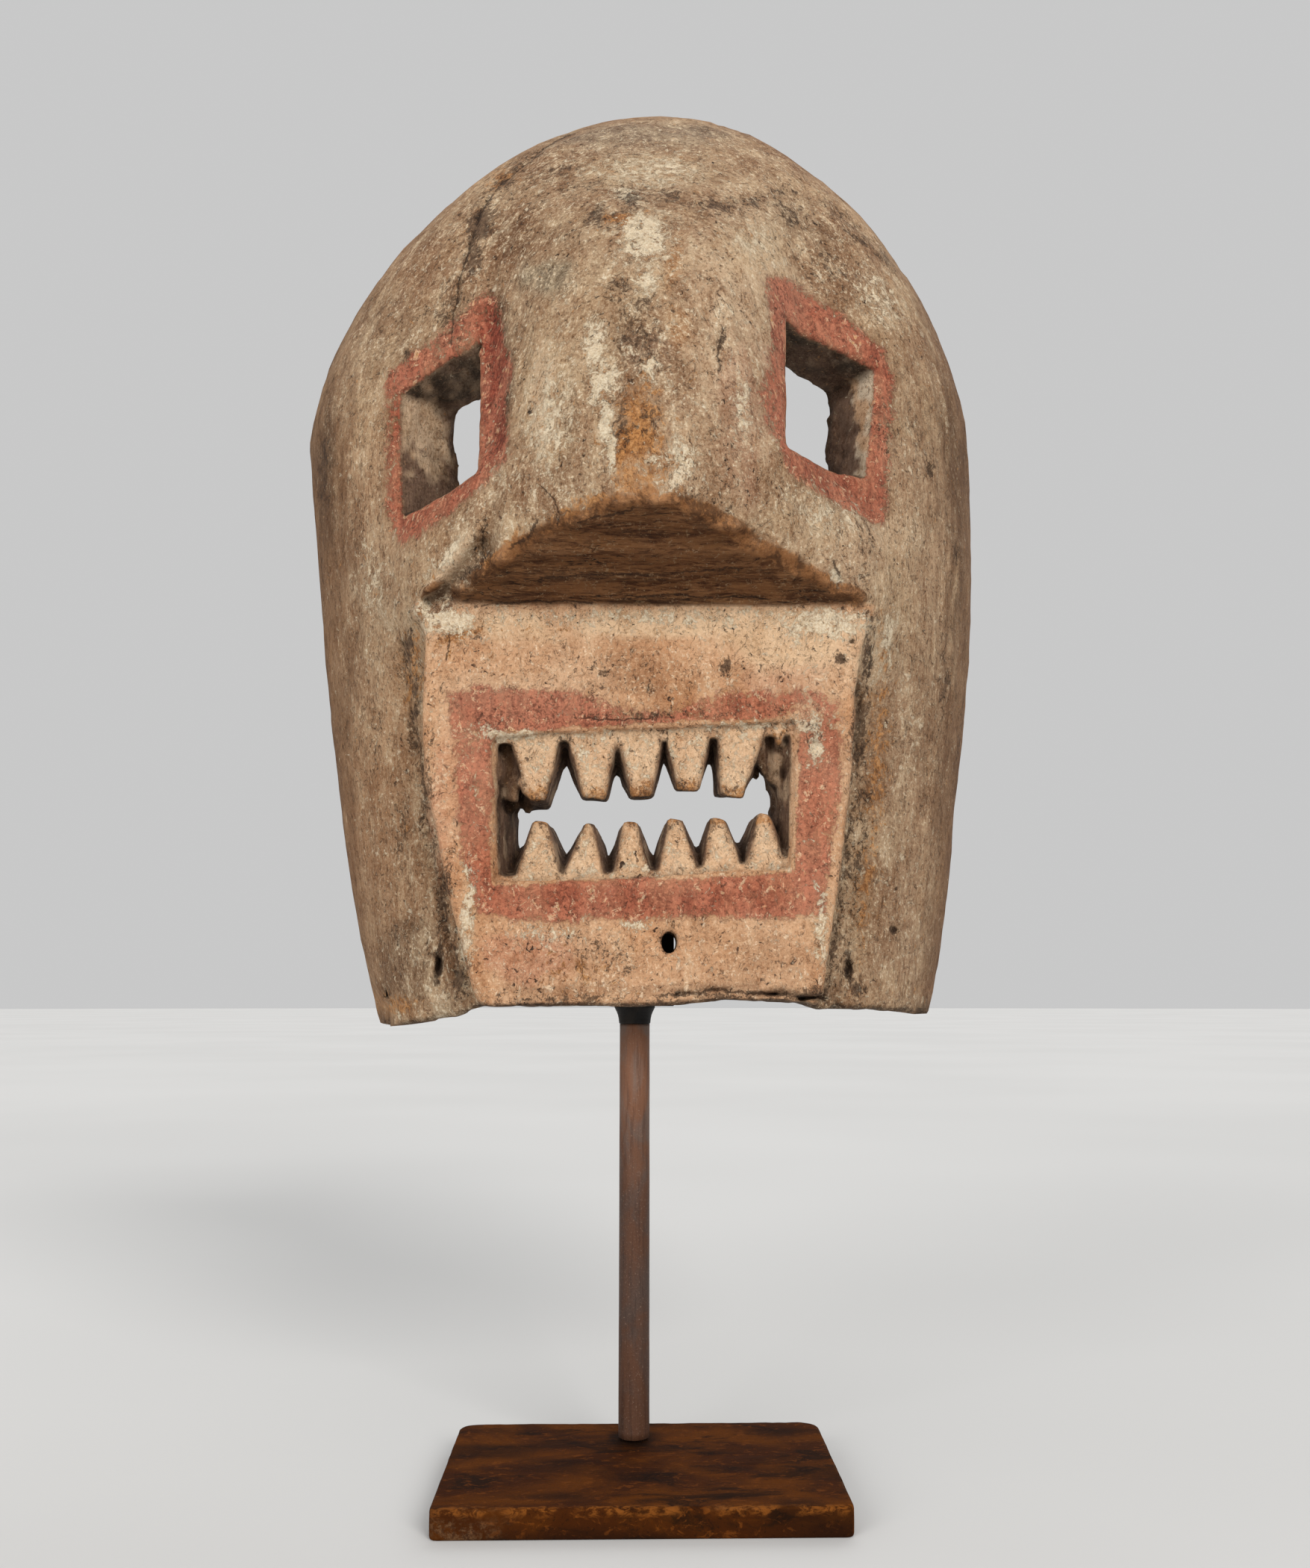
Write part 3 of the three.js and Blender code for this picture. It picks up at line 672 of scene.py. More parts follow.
def new_mesh(name, corners, faces):
    mesh = bpy.data.meshes.new(name)
    mesh.vertices.add(len(corners))
    mesh.vertices.foreach_set("co", (corners * MM).astype(np.float32).ravel())
    sides = faces.shape[1]
    mesh.loops.add(faces.size)
    mesh.loops.foreach_set("vertex_index", faces.astype(np.int32).ravel())
    mesh.polygons.add(len(faces))
    mesh.polygons.foreach_set("loop_start", np.arange(0, faces.size, sides, dtype=np.int32))
    mesh.update(calc_edges=True)
    mesh.validate()
    return mesh


def corners_of(mesh):
    co = np.empty(len(mesh.vertices) * 3, np.float32)
    mesh.vertices.foreach_get("co", co)
    return co.reshape(-1, 3)


def write(mesh, name, values, low=0, high=1):
    """Keeps one number between those limits at each corner of the mesh."""
    layer = mesh.attributes.new(name, "FLOAT", "POINT")
    layer.data.foreach_set("value", np.clip(values, low, high).astype(np.float32))


def smooth_all(mesh):
    mesh.polygons.foreach_set("use_smooth", np.ones(len(mesh.polygons), bool))
    mesh.update()


def largest_body(corners, faces):
    """Drops crumbs that the noise has cut loose."""
    label = np.arange(len(corners))
    pairs = np.concatenate([faces[:, [0, 1]], faces[:, [1, 2]], faces[:, [2, 3]]])
    while True:
        low = np.minimum(label[pairs[:, 0]], label[pairs[:, 1]])
        new = label.copy()
        np.minimum.at(new, pairs[:, 0], low)
        np.minimum.at(new, pairs[:, 1], low)
        new = new[new]
        new = new[new]
        if np.array_equal(new, label):
            break
        label = new
    names, counts = np.unique(label, return_counts=True)
    keep = label == names[np.argmax(counts)]
    index = np.cumsum(keep) - 1
    kept = keep[faces].all(1)
    return corners[keep], index[faces[kept]]


def add_piece(name, mesh, material, slot_name, *nodes):
    piece = bpy.data.objects.new(name, mesh)
    bpy.context.scene.collection.objects.link(piece)
    mesh.materials.clear()
    mesh.materials.append(material)
    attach(piece, "root")
    if nodes:
        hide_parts(*nodes)


def held(mesh):
    """An object that holds the mesh for a modifier."""
    holder = bpy.data.objects.new("holder", mesh)
    bpy.context.scene.collection.objects.link(holder)
    return holder


def modified(holder, name, kind, **settings):
    """The mesh that a modifier makes of the held one, whose holder goes."""
    modifier = holder.modifiers.new(kind.lower(), kind)
    for key, value in settings.items():
        setattr(modifier, key, value)
    ready = holder.evaluated_get(bpy.context.evaluated_depsgraph_get())
    made = bpy.data.meshes.new_from_object(ready)
    bpy.data.objects.remove(holder)
    made.name = name
    return made


def thin_out(mesh, goal):
    """Joins small faces where the form is plain, most of all inside the hollow, down to that many triangles."""
    x, y, z = (corners_of(mesh) / MM).T
    holes = np.minimum(eye_holes(x, y, z), np.where(y < 40, mouth_opening(x, y, z), FAR))
    deep = (hollow_form(x, y, z) < 0.02) & (holes > 4)
    behind = ~deep & (y > 40)
    holder = held(mesh)
    group = holder.vertex_groups.new(name="plain")
    for part, share in ((deep, 1.0), (behind, 0.8), (~deep & ~behind, 0.12)):
        group.add(np.nonzero(part)[0].tolist(), share, "REPLACE")
    return modified(holder, "mask_carving", "DECIMATE", ratio=min(1.0, goal / (2 * len(mesh.polygons))),
                    vertex_group="plain", vertex_group_factor=6.0, use_collapse_triangulate=True)


# Paint: large patches over the whole mask, as a colour at each corner
def linear(r, g, b):
    return tuple((c / 255 / 12.92) if c / 255 <= 0.04045 else ((c / 255 + 0.055) / 1.055) ** 2.4 for c in (r, g, b))


COLOURS = {
    "cream": linear(210, 178, 140), "white": linear(234, 207, 170), "tan": linear(171, 135, 103),
    "brown": linear(113, 81, 55), "dark": linear(52, 38, 30), "grey": linear(143, 131, 115),
    "ochre": linear(182, 122, 66), "pink": linear(194, 135, 110),
    "rust": linear(131, 88, 55), "peach": linear(214, 168, 127), "umber": linear(66, 47, 32),
    "slate": linear(68, 59, 50), "underside_shade": linear(36, 28, 21), "sage": linear(136, 127, 106),
    "bark": linear(90, 64, 47), "dust": linear(231, 199, 164), "taupe": linear(136, 107, 88),
    "chalk": linear(250, 228, 198),
}
# Broad tones of the painted face: middle, half width, half height, turn, colour, strength
TONES = [
    (860, 178, 170, 18, 0, "grey", 0.35), (869, 228, 110, 24, 0, "cream", 0.5), (770, 215, 90, 22, -14, "rust", 0.3),
    (960, 215, 70, 20, 14, "tan", 0.4), (600, 330, 90, 80, -45, "rust", 0.28), (520, 440, 60, 70, -40, "brown", 0.25),
    (694, 322, 44, 50, -10, "rust", 0.55), (730, 372, 42, 34, 0, "sage", 0.6), (762, 310, 40, 30, 0, "brown", 0.25),
    # The rust and brown at 658 and 668 across lie in the valley between the nose and the left eye: painted shade
    (658, 430, 26, 60, 0, "rust", 0.5), (668, 520, 14, 90, 0, "brown", 0.45), (990, 400, 90, 130, 0, "dust", 0.5),
    (950, 560, 50, 110, 0, "dust", 0.4), (1130, 740, 70, 70, 0, "dust", 0.45), (1010, 330, 60, 40, 0, "cream", 0.45),
    (1120, 350, 60, 40, 40, "rust", 0.35), (1185, 420, 34, 60, -28, "cream", 0.4),
    (1000, 560, 40, 120, 0, "pink", 0.3), (960, 600, 40, 70, 0, "tan", 0.4), (735, 540, 44, 110, 0, "cream", 0.5),
    (770, 440, 30, 50, 0, "tan", 0.3), (848, 455, 30, 50, 0, "brown", 0.5), (852, 600, 30, 66, 0, "ochre", 0.7),
    # The browns at 432 and 1275 across, along the silhouettes, are painted shade of the light falling off at the sides
    (432, 600, 18, 110, 2, "brown", 0.6), (455, 520, 26, 90, 18, "tan", 0.3), (462, 720, 40, 90, 0, "brown", 0.3),
    (1275, 560, 16, 110, 0, "brown", 0.45), (1240, 640, 30, 80, 0, "tan", 0.3), (1090, 700, 60, 50, 20, "cream", 0.35),
    (1190, 820, 40, 90, 0, "cream", 0.4), (1255, 1000, 30, 160, -4, "brown", 0.3),
    (1200, 1080, 40, 130, 0, "rust", 0.2), (520, 1100, 40, 140, 4, "rust", 0.45),
    (470, 1000, 30, 170, 4, "brown", 0.3), (545, 1290, 40, 60, 0, "brown", 0.5), (520, 1350, 40, 20, 0, "ochre", 0.3),
    (1180, 1200, 40, 90, 0, "rust", 0.35), (1240, 1330, 34, 24, 0, "rust", 0.35), (560, 790, 30, 60, 0, "cream", 0.3),
    (505, 830, 30, 60, 0, "cream", 0.3), (690, 620, 34, 50, 0, "tan", 0.4), (735, 650, 60, 30, -10, "rust", 0.3),
    (690, 870, 90, 40, 0, "rust", 0.3), (850, 900, 80, 34, 0, "brown", 0.14), (1070, 880, 110, 56, 0, "dust", 0.5),
    # The bark at 665 across, in the valley beside the left eye, is painted shade
    (690, 900, 110, 56, 0, "dust", 0.35), (665, 500, 26, 120, 0, "bark", 0.6), (860, 1204, 210, 22, 0, "brown", 0.35),
    (1060, 890, 70, 46, 0, "pink", 0.5), (1095, 836, 70, 22, 0, "white", 0.6), (600, 1060, 26, 110, 4, "pink", 0.4),
    (700, 1285, 70, 36, 0, "pink", 0.45), (820, 1290, 60, 36, 0, "rust", 0.2), (980, 1285, 90, 36, 0, "peach", 0.35),
    (626, 1240, 14, 90, 4, "cream", 0.55), (1100, 1230, 16, 70, -4, "cream", 0.5),
    (870, 1325, 230, 10, 0, "brown", 0.35), (869, 700, 60, 14, 0, "rust", 0.3), (470, 1180, 20, 120, 4, "rust", 0.25),
    (500, 800, 70, 190, 0, "tan", 0.35), (505, 1080, 60, 190, 4, "peach", 0.25), (540, 1290, 50, 70, 0, "brown", 0.3),
    # The bark at 622 and the brown at 590 across, in the scoop under the left end of the brow, and the brown at 664
    # across, in the crease down from the left eye, are dirt and painted shade
    (1230, 1000, 60, 260, 0, "tan", 0.3), (598, 760, 76, 12, -54, "dust", 0.9), (622, 782, 66, 16, -50, "bark", 0.95),
    (590, 800, 40, 14, -46, "brown", 0.8), (648, 748, 16, 22, 0, "umber", 0.4), (664, 705, 12, 40, 6, "brown", 0.4),
    (853, 600, 30, 70, 0, "ochre", 0.9), (728, 530, 17, 76, 0, "dust", 0.55), (765, 552, 10, 60, 0, "brown", 0.35),
    (902, 356, 11, 44, 12, "ochre", 0.5), (908, 436, 22, 30, 0, "ochre", 0.45), (690, 318, 26, 30, 0, "brown", 0.45),
    (1050, 856, 110, 44, 0, "white", 0.85), (1060, 910, 66, 22, 0, "pink", 0.35), (690, 842, 110, 24, 0, "white", 0.6),
    (676, 880, 70, 30, 0, "peach", 0.4), (606, 1040, 14, 90, 4, "peach", 0.4), (918, 526, 20, 40, 0, "rust", 0.4),
    (866, 470, 34, 34, 0, "taupe", 0.4), (866, 186, 150, 20, 0, "grey", 0.25), (870, 834, 290, 19, 0, "white", 0.95),
    # The umber at 668 across, in the valley beside the left eye, is painted shade
    (668, 530, 15, 90, 0, "umber", 0.5), (1075, 300, 60, 26, 34, "brown", 0.3), (560, 300, 60, 30, -46, "brown", 0.3),
    # The browns at 438 and 1282 across, along the silhouettes, are painted shade of the light falling off at the sides
    (438, 640, 14, 130, 1, "brown", 0.6), (1282, 620, 12, 150, 1, "brown", 0.6), (1080, 880, 90, 60, 0, "white", 0.45),
    (1010, 1290, 100, 40, 0, "tan", 0.4),
]
# Marks with broken edges, by kind: middle, half width, half height, turn, strength
MARKS = {
    # Some of these rows are painted shade as well as dirt: those down the mouth plate's edges (548 to 617 and 1118 to
    # 1160 across), in the scoop under the left end of the brow (596 to 649), at the left silhouette (434) and along
    # the ledge over the upper teeth (868 across, 958 down)
    "dirt_and_shade": [
        (797, 288, 18, 22, 0, 0.46), (845, 268, 20, 22, 0, 0.42), (898, 260, 22, 12, 10, 0.42),
        (955, 277, 36, 9, 4, 0.42), (1010, 271, 18, 9, 0, 0.42), (1057, 285, 14, 24, -20, 0.4),
        (832, 384, 17, 13, 20, 0.4), (856, 408, 30, 14, 14, 0.34), (842, 430, 12, 22, 0, 0.32),
        (855, 452, 30, 46, 0, 0.3), (832, 570, 11, 40, 0, 0.44), (872, 560, 12, 34, 0, 0.3),
        (645, 302, 17, 26, 14, 0.8), (675, 243, 16, 14, -30, 0.5), (632, 345, 12, 32, 8, 0.62),
        (593, 424, 14, 14, 0, 0.5), (544, 473, 8, 10, 0, 0.55), (608, 395, 22, 40, 8, 0.3),
        (700, 215, 40, 14, -32, 0.3), (434, 620, 8, 90, 2, 0.36), (1150, 318, 30, 7, 38, 0.4),
        (1190, 350, 26, 7, 46, 0.38), (1245, 629, 8, 18, 0, 0.5), (1108, 355, 40, 24, 35, 0.24),
        (750, 230, 40, 16, -14, 0.24), (905, 640, 10, 18, 20, 0.4), (935, 660, 10, 16, 0, 0.3),
        (649, 750, 9, 14, 8, 0.16), (628, 770, 15, 18, 40, 0.25), (596, 800, 26, 8, -40, 0.22),
        (1148, 796, 14, 10, 30, 0.55), (548, 868, 9, 30, 6, 0.6), (556, 940, 7, 70, 5, 0.5),
        (572, 1060, 6, 80, 6, 0.45), (596, 1200, 8, 80, 8, 0.45), (617, 1310, 12, 30, 6, 0.5),
        (1151, 975, 11, 56, 3, 0.6), (1160, 870, 5, 60, 3, 0.45), (1138, 1110, 6, 90, 6, 0.42),
        (1118, 1260, 7, 70, 8, 0.42), (1150, 1130, 14, 130, 5, 0.27), (972, 894, 7, 11, 0, 0.62),
        (1130, 885, 10, 6, 15, 0.68), (1142, 858, 7, 6, 0, 0.62), (800, 899, 20, 10, 0, 0.3),
        (850, 905, 76, 30, 0, 0.1), (868, 958, 100, 7, -2, 0.34), (1085, 985, 14, 24, 0, 0.34),
        (589, 1291, 7, 20, 0, 0.8), (520, 1328, 5, 10, 0, 0.7), (1135, 1296, 8, 17, 0, 0.6),
        (1197, 1246, 6, 7, 0, 0.7), (897, 1263, 13, 17, 0, 0.42), (1090, 1330, 26, 12, 0, 0.55),
        (980, 1334, 60, 6, 0, 0.42), (760, 1336, 120, 5, 0, 0.34), (1148, 1325, 16, 12, 0, 0.5),
        (540, 1110, 10, 60, 6, 0.25), (505, 980, 8, 60, 5, 0.22), (1265, 900, 6, 60, 0, 0.28),
        (1282, 740, 4, 12, 0, 0.45), (700, 480, 10, 60, 0, 0.16), (820, 1280, 60, 30, 0, 0.2),
    ],
    "white": [
        (690, 985, 34, 7, -3, 0.7), (1000, 972, 60, 6, -2, 0.45), (863, 320, 32, 34, 0, 0.66),
        (840, 262, 20, 12, 0, 0.5), (866, 372, 20, 24, 0, 0.4), (869, 228, 90, 22, 0, 0.32),
        (796, 463, 14, 34, 4, 0.58), (812, 508, 20, 26, 20, 0.56), (812, 562, 7, 36, 2, 0.85),
        (818, 604, 5, 30, 0, 0.8), (800, 520, 9, 26, 6, 0.6), (869, 494, 14, 20, 0, 0.44),
        (916, 616, 15, 36, -8, 0.46), (909, 642, 6, 20, 10, 0.7), (735, 560, 30, 80, 0, 0.34),
        (995, 545, 12, 50, 0, 0.36), (1010, 320, 30, 26, 0, 0.32), (1180, 400, 26, 50, -30, 0.32),
        (1119, 777, 8, 14, 0, 0.5), (598, 745, 34, 7, -52, 0.46), (566, 815, 12, 12, 0, 0.7),
        (594, 832, 26, 18, 0, 0.66), (868, 826, 290, 14, 0, 0.22), (604, 836, 34, 20, 0, 0.6),
        (1105, 834, 66, 20, 0, 0.56), (1080, 968, 22, 14, 0, 0.48), (1094, 1000, 10, 26, 0, 0.5),
        (655, 980, 14, 10, 0, 0.6), (626, 1230, 10, 90, 4, 0.42), (730, 1250, 40, 14, 0, 0.32),
        (852, 1240, 14, 10, 0, 0.5), (1100, 1240, 8, 50, -4, 0.42), (523, 1360, 14, 7, 0, 0.5),
        (1240, 1342, 26, 8, 0, 0.4), (1188, 860, 14, 50, 0, 0.34), (500, 790, 20, 50, 0, 0.26),
        (1110, 690, 50, 30, 20, 0.26), (1065, 540, 8, 60, 0, 0.2),
    ],
    "ochre": [
        (828, 293, 22, 7, 5, 0.6), (858, 606, 30, 66, 0, 0.98), (862, 645, 34, 22, 0, 0.8),
        (672, 240, 20, 14, -30, 0.42), (1176, 1010, 12, 130, 2, 0.36), (1160, 1180, 12, 90, 6, 0.34),
        (1022, 742, 14, 7, 30, 0.8), (1110, 784, 12, 8, 30, 0.75), (1139, 801, 9, 7, 30, 0.65),
        (556, 900, 14, 70, 4, 0.34), (530, 1345, 24, 14, 0, 0.4), (760, 1300, 60, 20, 0, 0.2),
        (620, 850, 40, 9, -20, 0.35),
    ],
}
# Lines of stain, and of painted shade in creases: points, half width, kind, strength
STAINS = [
    (CRACK[:5], 8, "dirt_and_shade", 0.36), (CRACK[4:], 5, "dirt_and_shade", 0.40), (CRACK[3:], 18, "dirt_and_shade", 0.30),
    (CROWN_LINE, 9, "dirt_and_shade", 0.33), (SIDE_LINE, 5, "dirt_and_shade", 0.42), (SCAR, 5, "dirt_and_shade", 0.30),
    ([(652, 757), (676, 744), (711, 725), (752, 701), (776, 681), (811, 673), (869, 663), (905, 673), (946, 690),
      (963, 706), (1010, 733), (1045, 753), (1069, 765), (1104, 782), (1122, 794)], 10, "ochre", 0.62),
    ([(599, 876), (612, 852), (640, 840), (705, 846), (775, 838)], 5, "ochre", 0.30),
    # The lines down both edges of the mouth plate, the line along the ledge over the upper teeth, and the crease and
    # the valley beside the left eye are painted shade as well as dirt
    ([(545, 850), (553, 912), (562, 1006), (575, 1106), (590, 1190), (604, 1260), (618, 1330)], 5, "dirt_and_shade", 0.46),
    ([(1166, 830), (1160, 920), (1150, 1010), (1140, 1090), (1126, 1190), (1112, 1290), (1108, 1335)],
     5, "dirt_and_shade", 0.42),
    ([(775, 962), (834, 964), (963, 955), (1063, 950)], 4, "dirt_and_shade", 0.36),
    ([(655, 690), (640, 720), (652, 757)], 6, "dirt_and_shade", 0.4), ([(655, 455), (668, 520), (664, 600)], 10, "dirt_and_shade", 0.22),
    ([(640, 1350), (720, 1345), (880, 1345), (1000, 1337), (1108, 1343)], 4, "dirt_and_shade", 0.5),
]
# Thin dark lines: points and half width in pixels, and how many half widths are kept beside them
SEAM_REACH = 6.0
SEAMS = [
    (CRACK, 1.2), (SCAR, 1.5), ([(967, 440), (972, 452), (962, 470)], 1.2),
    ([(890, 1334), (960, 1327), (1040, 1331), (1105, 1338)], 2.4), ([(658, 690), (646, 716), (650, 752)], 0.9),
    ([(718, 704), (708, 720), (690, 731)], 2.6), ([(727, 650), (744, 668), (752, 690), (748, 703)], 1.1),
    ([(777, 700), (800, 693), (845, 684)], 1.4), ([(728, 774), (800, 769), (880, 768), (990, 762)], 1.5),
    ([(640, 812), (720, 803), (790, 806)], 1.3), ([(840, 802), (900, 796), (1010, 800)], 1.4),
    ([(589, 1272), (588, 1310)], 3.2), ([(1135, 1284), (1137, 1306)], 3.6), ([(1120, 756), (1124, 778)], 1.8),
    # The line at 963 down, along the ledge over the upper teeth, is a painted shadow line
    ([(775, 963), (834, 965), (900, 961)], 1.2), ([(600, 852), (598, 880)], 1.2), ([(1166, 868), (1162, 930)], 1.4),
]
BEND_SCALE = 2.2
# Outlines of the red bands round the eyes and the mouth, and the inner edge of the mouth's
LEFT_BAND = [(516, 498), (600, 440), (640, 392), (660, 390), (683, 500), (676, 610), (600, 690), (543, 730),
             (520, 690)]
RIGHT_BAND = [(1027, 373), (1056, 373), (1113, 414), (1181, 467), (1195, 493), (1197, 582), (1184, 702), (1118, 672),
              (1056, 628), (1023, 570), (1018, 518), (1031, 416)]
MOUTH_BAND = [(603, 930), (660, 922), (787, 926), (875, 942), (963, 928), (1081, 926), (1127, 945), (1127, 1060),
              (1100, 1222), (860, 1230), (643, 1226), (622, 1150), (607, 1040)]
MOUTH_FRAME = [(659, 978), (1072, 958), (1068, 1170), (657, 1188)]
# Where the red has worn thin: middle, half width, half height, turn, how much is gone
BAND_LOSS = [(875, 938, 84, 26, 0, 0.95), (1075, 955, 40, 24, 0, 0.6), (640, 985, 30, 16, 0, 0.5),
             (655, 400, 26, 40, 0, 0.3), (530, 560, 16, 110, 0, 0.3), (1028, 500, 16, 90, 0, 0.35),
             (1035, 590, 20, 40, 0, 0.35), (1092, 1000, 20, 50, 0, 0.5), (606, 1060, 16, 120, 4, 0.4),
             (1110, 1100, 24, 60, 0, 0.25), (600, 460, 50, 16, -28, 0.35), (1190, 600, 10, 110, 0, 0.3),
             (640, 1060, 14, 60, 0, 0.25)]


def bend_of(mesh, p, normal):
    """How hollow the surface is at each corner, evened out over its neighbours, in millimetres."""
    edges = np.empty(len(mesh.edges) * 2, np.int32)
    mesh.edges.foreach_get("vertices", edges)
    edges = edges.reshape(-1, 2)
    bend = ((neighbours_mean(p, edges) - p) * normal).sum(1)[:, None]
    for _ in range(3):
        bend = 0.5 * bend + 0.5 * neighbours_mean(bend, edges)
    return bend[:, 0]


def tooth_tips(x, z):
    """One at the tip of each tooth, nought a little way off."""
    tips = np.zeros(len(x))
    for _, _, right, left, _ in UPPER_TEETH + LOWER_TEETH:
        away = np.hypot((x - (right[0] + left[0]) / 2) * 0.8, z - (right[1] + left[1]) / 2)
        tips = np.maximum(tips, smoothstep(8.5, 2.0, away))
    return tips


def red_bands(u, v, sway):
    """How much red there is, in the bands round the eyes and the mouth."""
    def filled(outline):
        return smoothstep(13, -11, outline_distance(u + sway, v + sway, outline))

    eyes = np.maximum(filled(LEFT_BAND), filled(RIGHT_BAND))
    mouth = filled(MOUTH_BAND) * smoothstep(-6, 2, outline_distance(u, v, MOUTH_FRAME))
    for *place, loss in BAND_LOSS:
        fade = 1 - loss * oval(u, v, *place)
        eyes = eyes * fade
        mouth = mouth * fade
    return np.clip(np.maximum(eyes, mouth), 0, 1)


def seam_offsets(u, v):
    """Offset from the nearest thin dark line in its half widths, with a sign for its side, and its distance."""
    side = near = np.full(len(u), SEAM_REACH)
    for points, half in SEAMS:
        away = line_distance(u, v, points) / half
        side = np.where(away < near, line_side(u, v, points) / half, side)
        near = np.minimum(near, away)
    return side, near


def paint(mesh):
    """Writes the given colours and masks onto the mesh's corners."""
    p = corners_of(mesh).astype(float) / MM
    normal = np.empty(p.size, np.float32)
    mesh.vertex_normals.foreach_get("vector", normal)
    normal = normal.reshape(-1, 3).astype(float)
    x, y, z = p.T
    normal_x, normal_y, normal_z = normal.T
    u, v = seen_at(p)
    u = u + 3.0 * noise(p, 9, 31) + 1.5 * noise(p, 4, 32)
    v = v + 3.0 * noise(p, 9, 33) + 1.5 * noise(p, 4, 34)

    # Which part of the mask each corner lies on
    to_eye = EYE - p
    front = smoothstep(0.0, 0.2, (normal * to_eye).sum(1) / np.linalg.norm(to_eye, axis=1))
    off_centre = np.abs(x - CENTRE_X)
    off_middle = np.abs(x - MIDDLE_X)
    hollow = steepness(hollow_form, x, y, z)
    skin = steepness(outer_form, x, y, z)
    inner = smoothstep(4.5, 2.0, hollow)
    broken_back = 4 * smoothstep(6, 12, y)
    eye_wall = smoothstep(1.6, 0.2, eye_holes(x, y, z) - broken_back) * smoothstep(0.5, 3.0, -skin) * (1 - inner)
    brow = (smoothstep(4.5, 2.2, np.abs(over_brow(y, z))) * smoothstep(-0.25, -0.6, normal_z)
            * smoothstep(-15, -17.5, y) * smoothstep(96, 90, off_middle))
    in_mouth = (np.abs(x) < MOUTH_HALF_WIDTH) & (z > MOUTH_LOW) & (z < MOUTH_HIGH) & (y > RECESS_Y - 1)
    set_back = smoothstep(-0.9, -0.6, normal_y) * smoothstep(RECESS_Y - 0.5, RECESS_Y + 2.5, y)
    mouth_wall = np.maximum(np.where(in_mouth, set_back, 0), np.where(in_mouth, smoothstep(-9.5, -7, y), 0))
    mouth_wall = mouth_wall * (1 - inner)
    on_plate = smoothstep(PLATE_Y + 6, PLATE_Y + 3, y) * (z < PLATE_TOP + 1) * (off_middle < 90)
    # Sides turning away from the front: barer brown wood, and painted shade where the light falls off towards the
    # silhouette
    bare_side_and_shade = smoothstep(0.60, 0.90, np.abs(normal_x)) * smoothstep(100, 125, off_centre)
    rim = smoothstep(95, 99, y) * (1 - inner)
    under = smoothstep(-0.35, -0.7, normal_z) * smoothstep(182, 174, z)

    colour = np.tile(np.array(COLOURS["tan"]), (len(p), 1))
    marks = {kind: np.zeros(len(p)) for kind in MARKS}

    def lay(name, share):
        nonlocal colour
        share = np.clip(share, 0, 1)[:, None]
        colour = colour * (1 - share) + np.array(COLOURS[name]) * share

    def mark(kind, share):
        marks[kind] = np.maximum(marks[kind], share)

    # Weathered wood all over
    streak = noise(p, (6, 6, 70), 36) + 0.6 * noise(p, (3.4, 3.4, 34), 61)
    mottle = noise(p, 15, 62) + 0.6 * noise(p, 7, 63)
    lay("cream", 0.42 * patches(p, -0.1, 0.8, 34, 35))
    lay("brown", 0.30 * smoothstep(0.05, 1.0, streak) * (1 - 0.8 * on_plate))
    lay("cream", 0.38 * smoothstep(0.05, 1.0, -streak) * (1 - 0.8 * on_plate))
    lay("rust", 0.34 * patches(p, 0.1, 0.9, (26, 26, 80), 37))
    lay("rust", 0.32 * smoothstep(0.15, 1.0, mottle))
    lay("cream", 0.35 * smoothstep(0.15, 1.0, -mottle))
    # Browner sides: barer wood, and painted shade where the light falls off towards the silhouette
    lay("brown", 0.85 * bare_side_and_shade * (0.78 + 0.22 * noise(p, (8, 8, 60), 64)))
    lay("dust", 0.30 * front * (1 - bare_side_and_shade) * smoothstep(78, 106, off_centre) * (z < 400))

    # Mouth plate and left cheek
    lay("peach", 0.9 * on_plate)
    lay("dust", 0.6 * on_plate * patches(p, -0.4, 0.6, 22, 38))
    lay("pink", 0.25 * on_plate * patches(p, 0.0, 0.8, 30, 39))
    lay("tan", 0.30 * on_plate * smoothstep(0.1, 0.9, noise(p, 11, 65) + 0.5 * noise(p, 5, 66)))
    lay("ochre", 0.20 * on_plate * patches(p, 0.1, 0.8, 16, 84))
    lay("ochre", 0.20 * front * smoothstep(-66, -96, x) * smoothstep(430, 390, z))

    # Tones, marks and stains
    ragged = 1 + 0.5 * noise(p, 7, 40) + 0.4 * noise(p, 15, 67)
    for *place, name, strength in TONES:
        lay(name, front * strength * 1.1 * smoothstep(0.1, 0.7, oval(u, v, *place) * ragged))
    # Dirt marks and stains; some of them are painted shade in creases, at the left silhouette and under the ledge over
    # the upper teeth
    for kind, rows in MARKS.items():
        for *place, strength in rows:
            near = oval(u, v, *place)
            mark(kind, front * min(1.0, strength * 1.12 + 0.12) * near ** 0.7)
            if kind == "dirt_and_shade":
                lay("brown", front * 0.35 * strength * near)
    wobble = 1 + 0.45 * noise(p, 11, 41)
    for points, half, kind, strength in STAINS:
        away = line_distance(u, v, points) / (half * wobble)
        mark(kind, front * strength * np.exp(-0.55 * away * away))
    mark("dirt_and_shade", 0.3 * patches(p, 0.25, 0.9, (14, 14, 40), 50) * (1 - on_plate))

